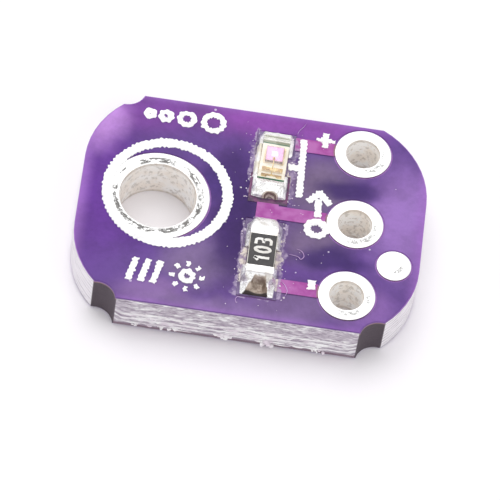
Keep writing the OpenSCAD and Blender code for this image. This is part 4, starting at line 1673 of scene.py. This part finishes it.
@dataclass
class Residue:
    """What was left on the board: dried flux in crumbs, crusts and a bead, and lint.

    Attributes:
        near_parts: Number of crumbs beside each part.
        scattered: Number of crumbs over the rest of the board.
        hair: Radius of a hair.
        foot: How far the flux reaches into the mask, so that no gap shows under it.
        sunk: How far the top of the flux lies under the mask where there is none.
        bead_half: Half the width of the bead.
    """

    layout: Layout
    seed: int = 19
    near_parts: int = 46
    scattered: int = 60
    hair: float = 0.011
    foot: float = 0.02
    sunk: float = 0.012
    bead_half: float = 0.085

    def _crumbs(self) -> BMesh:
        """Returns crumbs scattered round the soldered parts and more thinly over the board."""
        luck = random.Random(self.seed)
        bm = bmesh.new()

        def drop(x: float, y: float, least: float, most: float) -> None:
            """Lays one crumb on the mask, of a size between two limits."""
            size = luck.uniform(least, most)
            grain(bm, Vector((x, y, self.layout.surface(x, y) + size * 0.3)), size, luck)

        for part in (self.layout.sensor, self.layout.resistor):
            for _ in range(self.near_parts):
                side = luck.choice((-1, 1))
                out = 0.5 + abs(luck.gauss(0, 0.16))
                along = luck.uniform(-1.35, 1.35)
                drop(part.middle.x + side * out, part.middle.y + along, 0.010, 0.032)
        for _ in range(self.scattered):
            drop(luck.uniform(-0.8, 2.4), luck.uniform(-3.3, 3.3), 0.008, 0.018)
        return bm

    def _flux(self) -> BMesh:
        """Returns the lumpy flux that dried along both sides of the parts."""
        bm = bmesh.new()
        floor = self.layout.low_mask - self.foot
        sensor, resistor = self.layout.sensor, self.layout.resistor
        runs = (
            (sensor, -1, 0.44, 0.56, sensor.low.y - 0.45, sensor.high.y + 0.12, 0.09),
            (sensor, 1, 0.44, 0.53, sensor.low.y - 0.55, sensor.high.y - 0.30, 0.05),
            (resistor, -1, 0.42, 0.60, resistor.low.y - 0.45, resistor.high.y + 0.46, 0.10),
            (resistor, 1, 0.42, 0.62, resistor.low.y - 0.35, resistor.high.y + 0.42, 0.09),
        )
        for part, side, inner, outer, near, far, tall in runs:
            middle = part.middle.x

            def height(x: float, y: float) -> float:
                """Returns the height of the flux at a place."""
                out = (abs(x - middle) - inner) / (outer - inner)
                edge = 1 + 0.7 * wobble(x * 0.5, y, side, 3.3) + 0.35 * wobble(x, y, side, 11.0)
                rise = max(0.0, 1 - max(0.0, out) / max(0.2, edge)) ** 0.8
                ends = ease(y, near, near + 0.5) * ease(-y, -far, -far + 0.4)
                lumps = 0.55 + 0.5 * wobble(x, y, 2.0, 6.0) + 0.35 * wobble(x, y, 5.0, 15.0)
                return self.layout.surface(x, y) - self.sunk + tall * rise * ends * max(0.1, lumps)

            left, right = sorted((middle + side * inner, middle + side * (outer + 0.17)))
            heap(bm, (left, near), (right, far), 0.02, floor, height)
        return bm

    def _bead(self) -> BMesh:
        """Returns the pale bead that runs along the left side of the sensor."""
        bm = bmesh.new()
        part, floor = self.layout.sensor, self.layout.low_mask - self.foot
        left, near, far = part.low.x - 0.03, part.low.y + 0.1, part.high.y + 0.02

        def height(x: float, y: float) -> float:
            """Returns the height of the bead at a place."""
            off = x - left - SENSOR_LEAN * (y - part.middle.y) - 0.02 * wobble(y, 3.0, 1.0, 5.0)
            tall = 0.17 + 0.10 * ease(y, part.middle.y, far - 0.2) + 0.03 * wobble(x, y, 2.0, 5.0)
            ends = ease(y, near, near + 0.15) * ease(-y, -far, -far + 0.1)
            round_top = max(0.0, 1 - (off / self.bead_half) ** 2) ** 0.5
            return self.layout.low_mask - self.sunk + tall * ends * round_top

        heap(bm, (left - 0.12, near), (left + 0.12, far), 0.02, floor, height)
        return bm

    def _lint(self) -> BMesh:
        """Returns curled hairs that lie on the mask."""
        bm = bmesh.new()
        runs = (
            [(1.27, 3.46), (1.20, 3.32), (1.09, 3.16), (1.05, 3.02)],
            [(1.44, -1.06), (1.60, -1.12), (1.68, -1.28), (1.60, -1.40), (1.50, -1.32), (1.24, -1.28)],
            [(1.12, -2.28), (1.24, -2.42), (1.32, -2.60), (1.26, -2.80)],
            [(-1.6, 3.16), (-1.72, 2.98), (-1.62, 2.78), (-1.40, 2.66), (-1.20, 2.70)],
            [(-0.06, -2.98), (-0.14, -3.10), (-0.10, -3.24)],
        )
        for i, run in enumerate(runs):
            path = [Vector((x, y, self.layout.surface(x, y) + 0.016)) for x, y in run]
            smooth = [self._curve(path, t / 24) for t in range(25)]
            sweep(bm, smooth, self.hair + 0.002 * (i % 2), 5)
        return bm

    @staticmethod
    def _curve(points: Sequence[Vector], share: float) -> Vector:
        """Returns the point at a share of a smooth curve through some points."""
        at = share * (len(points) - 1)
        i = min(int(at), len(points) - 2)
        t = at - i
        a, b = points[max(i - 1, 0)], points[i]
        c, d = points[i + 1], points[min(i + 2, len(points) - 1)]
        square, cube = 2 * a - 5 * b + 4 * c - d, 3 * b - a - 3 * c + d
        return 0.5 * (2 * b + (c - a) * t + square * t * t + cube * t ** 3)

    def build(self, shop: Workshop) -> None:
        """Makes the flux and the lint.

        Args:
            shop: Where pieces are made.
        """
        for make, name, kind, slot in ((self._crumbs, "flux_crumbs", PlainKind.CRUMB, "solder_mask"),
                                       (self._flux, "flux_crust", PlainKind.FLUX, "solder_mask"),
                                       (self._bead, "flux_bead", PlainKind.BEAD, "solder_mask"),
                                       (self._lint, "lint", PlainKind.HAIR, "white_print")):
            shop.piece(make(), name, kind.build(), slot)


@dataclass
class TornEdges:
    """Glass strands that stand out of the two snapped edges.

    Attributes:
        strands: Number of strands on each edge.
        reach: Farthest place of a strand from the middle of the edge.
        tufts: Place and size of each tuft of torn glass.
        grains: Number of grains in a tuft.
    """

    layout: Layout
    seed: int = 7
    strands: int = 150
    reach: float = 3.45
    tufts: tuple[tuple[float, float], ...] = (
        (-2.05, 0.16), (-0.45, 0.22), (0.95, 0.15), (2.45, 0.13), (-2.9, 0.08))
    grains: int = 9

    def _edge(self, side: int) -> BMesh:
        """Returns the strands and flakes of one edge.

        Args:
            side: One for the far edge and minus one for the near one.

        Returns:
            The mesh.
        """
        luck = random.Random(self.seed + side)
        board = self.layout.board
        out = board.high.y
        bm = bmesh.new()
        for _ in range(self.strands):
            x = luck.uniform(-self.reach, self.reach)
            z = luck.uniform(board.low.z + 0.30, board.high.z - 0.42)
            length = luck.uniform(0.12, 0.7)
            lean = luck.uniform(-0.03, 0.03)
            path = []
            for t in range(6):
                s = t / 5
                bow = math.sin(math.pi * s) * 0.018
                path.append(Vector((x + length * (s - 0.5), side * (out - 0.012 + bow), z + lean * s)))
            if all(abs(p.x) < self.reach for p in path):
                sweep(bm, path, luck.uniform(0.010, 0.022), 5)
        for x, size in self.tufts:
            for _ in range(self.grains):
                at = Vector((x + luck.gauss(0, size * 0.7), side * (out - 0.02 - luck.uniform(0, 0.03)),
                             board.low.z + luck.uniform(0.16, 0.42)))
                grain(bm, at, luck.uniform(0.3, 0.6) * size, luck)
        return bm

    def build(self, shop: Workshop) -> None:
        """Makes the strands of both edges.

        Args:
            shop: Where pieces are made.
        """
        finish = PlainKind.FIBRE.build()
        for side, name in ((-1, "near_edge_strands"), (1, "far_edge_strands")):
            shop.piece(self._edge(side), name, finish, "glass_fibre")


@dataclass
class Studio:
    """Camera, lamps and the pale floor.

    Attributes:
        azimuth: Turn of the camera round the board, in degrees.
        elevation: Its height over the board, in degrees.
        roll: Its turn about its own axis, in degrees.
        distance: Its distance, in millimetres.
        slide: Its shift to the right and upwards, in millimetres.
        lens: Its focal length, in millimetres.
        sensor_width: Width of its sensor, in millimetres.
        aim_height: Height of the point that it looks at, in millimetres.
        floor_glow: Light of the floor itself, where it is seen.
        surround: Strength of the surround on the object.
        surround_seen: What is added to it where it is seen.
        lamps: Name, place, width and power of each lamp.
    """

    azimuth: float = -1.97
    elevation: float = 55.6
    roll: float = 9.9
    distance: float = 136.56
    slide: tuple[float, float] = (-0.047, -1.093)
    lens: float = 335.7
    sensor_width: float = 36.0
    aim_height: float = 1.385
    floor_glow: float = 0.03
    surround: float = 0.82
    surround_seen: float = 0.18
    lamps: ClassVar[tuple[tuple[str, tuple[float, float, float], float, float], ...]] = (
        ("key_lamp", (-0.05, 0.12, 0.22), 0.16, 0.20),
        ("fill_lamp", (0.16, -0.10, 0.20), 0.14, 0.07),
        ("side_lamp", (-0.20, -0.06, 0.05), 0.12, 0.035))

    def _camera(self) -> None:
        """Places the camera by the angles that the photograph was taken at."""
        az, el, roll = (math.radians(a) for a in (self.azimuth, self.elevation, self.roll))
        back = Vector((math.sin(az) * math.cos(el), -math.cos(az) * math.cos(el), math.sin(el)))
        right = Vector((math.cos(az), math.sin(az), 0))
        up = back.cross(right)
        turned_right = right * math.cos(roll) + up * math.sin(roll)
        turned_up = up * math.cos(roll) - right * math.sin(roll)
        at = back * self.distance + turned_right * self.slide[0] + turned_up * self.slide[1]
        at.z += self.aim_height
        data = bpy.data.cameras.new("camera")
        data.lens = self.lens
        data.sensor_width = self.sensor_width
        data.clip_start = 0.01
        data.clip_end = 5.0
        camera = linked("camera", data)
        turn = Matrix((turned_right, turned_up, back)).transposed()
        camera.matrix_world = Matrix.Translation(at * MM) @ turn.to_4x4()
        bpy.context.scene.camera = camera

    @staticmethod
    def _lamp(name: str, place: tuple[float, float, float], size: float, power: float) -> None:
        """Adds a square soft lamp that faces the object.

        Args:
            name: Its name.
            place: Where it stands, in metres.
            size: Its width in metres.
            power: Its power in watts.
        """
        data = bpy.data.lights.new(name, "AREA")
        data.size = size
        data.energy = power
        lamp = linked(name, data)
        lamp.location = place
        lamp.rotation_euler = (-Vector(place)).to_track_quat("-Z", "Y").to_euler()

    def _floor(self) -> None:
        """Adds the white floor, which keeps the object's shadow."""
        bm = bmesh.new()
        bmesh.ops.create_grid(bm, x_segments=1, y_segments=1, size=1.5)
        mesh = bpy.data.meshes.new("floor")
        bm.to_mesh(mesh)
        bm.free()
        made = Finish("white_floor", Base_Color="#f6f3f7", Roughness=0.9, Specular_IOR_Level=0.1,
                      Emission_Color="#ffffff")
        made.set("Emission Strength", made.graph.times(made.graph.seen(), self.floor_glow))
        mesh.materials.append(made.material)
        linked("floor", mesh)

    def _world(self) -> None:
        """Sets a white surround, plain to the object and white to the camera."""
        world = bpy.data.worlds.new("surround")
        bpy.context.scene.world = world
        world.use_nodes = True
        graph = Graph(world.node_tree)
        sky = world.node_tree.nodes["Background"]
        sky.inputs["Color"].default_value = (1, 1, 1, 1)
        seen = graph.times(graph.seen(), self.surround_seen)
        graph.feed(sky.inputs["Strength"], graph.plus(self.surround, seen))

    def build(self) -> None:
        """Sets up the studio."""
        bpy.context.scene.view_settings.view_transform = "Standard"
        self._camera()
        self._world()
        self._floor()
        for lamp in self.lamps:
            self._lamp(*lamp)


def main() -> None:
    """Builds the whole scene in order."""
    logging.basicConfig(level=logging.INFO, format="%(name)s: %(message)s")
    layout, effects, shop = Layout(), Effects(), Workshop()
    Studio().build()
    Board(layout, effects).build(shop)
    TinWork(effects).build(shop)
    PrintWork(layout).build(shop)
    LightSensor().build(shop)
    ChipResistor().build(shop)
    joints = ((JointShape.PEAKED, "sensor", "far"), (JointShape.DENTED, "sensor", "near"),
              (JointShape.DOMED, "resistor", "far"), (JointShape.HOLLOW, "resistor", "near"))
    for shape, part, end in joints:
        joint, terminal = f"{part}_{end}_solder", f"{part}_{end}_terminal"
        SolderJoint(shape, joint, terminal, end == "far").build(shop, effects)
    Residue(layout).build(shop)
    TornEdges(layout).build(shop)
    LOG.info("%d pieces beside the packed solids", len(shop.pieces))


if __name__ == "__main__":
    main()
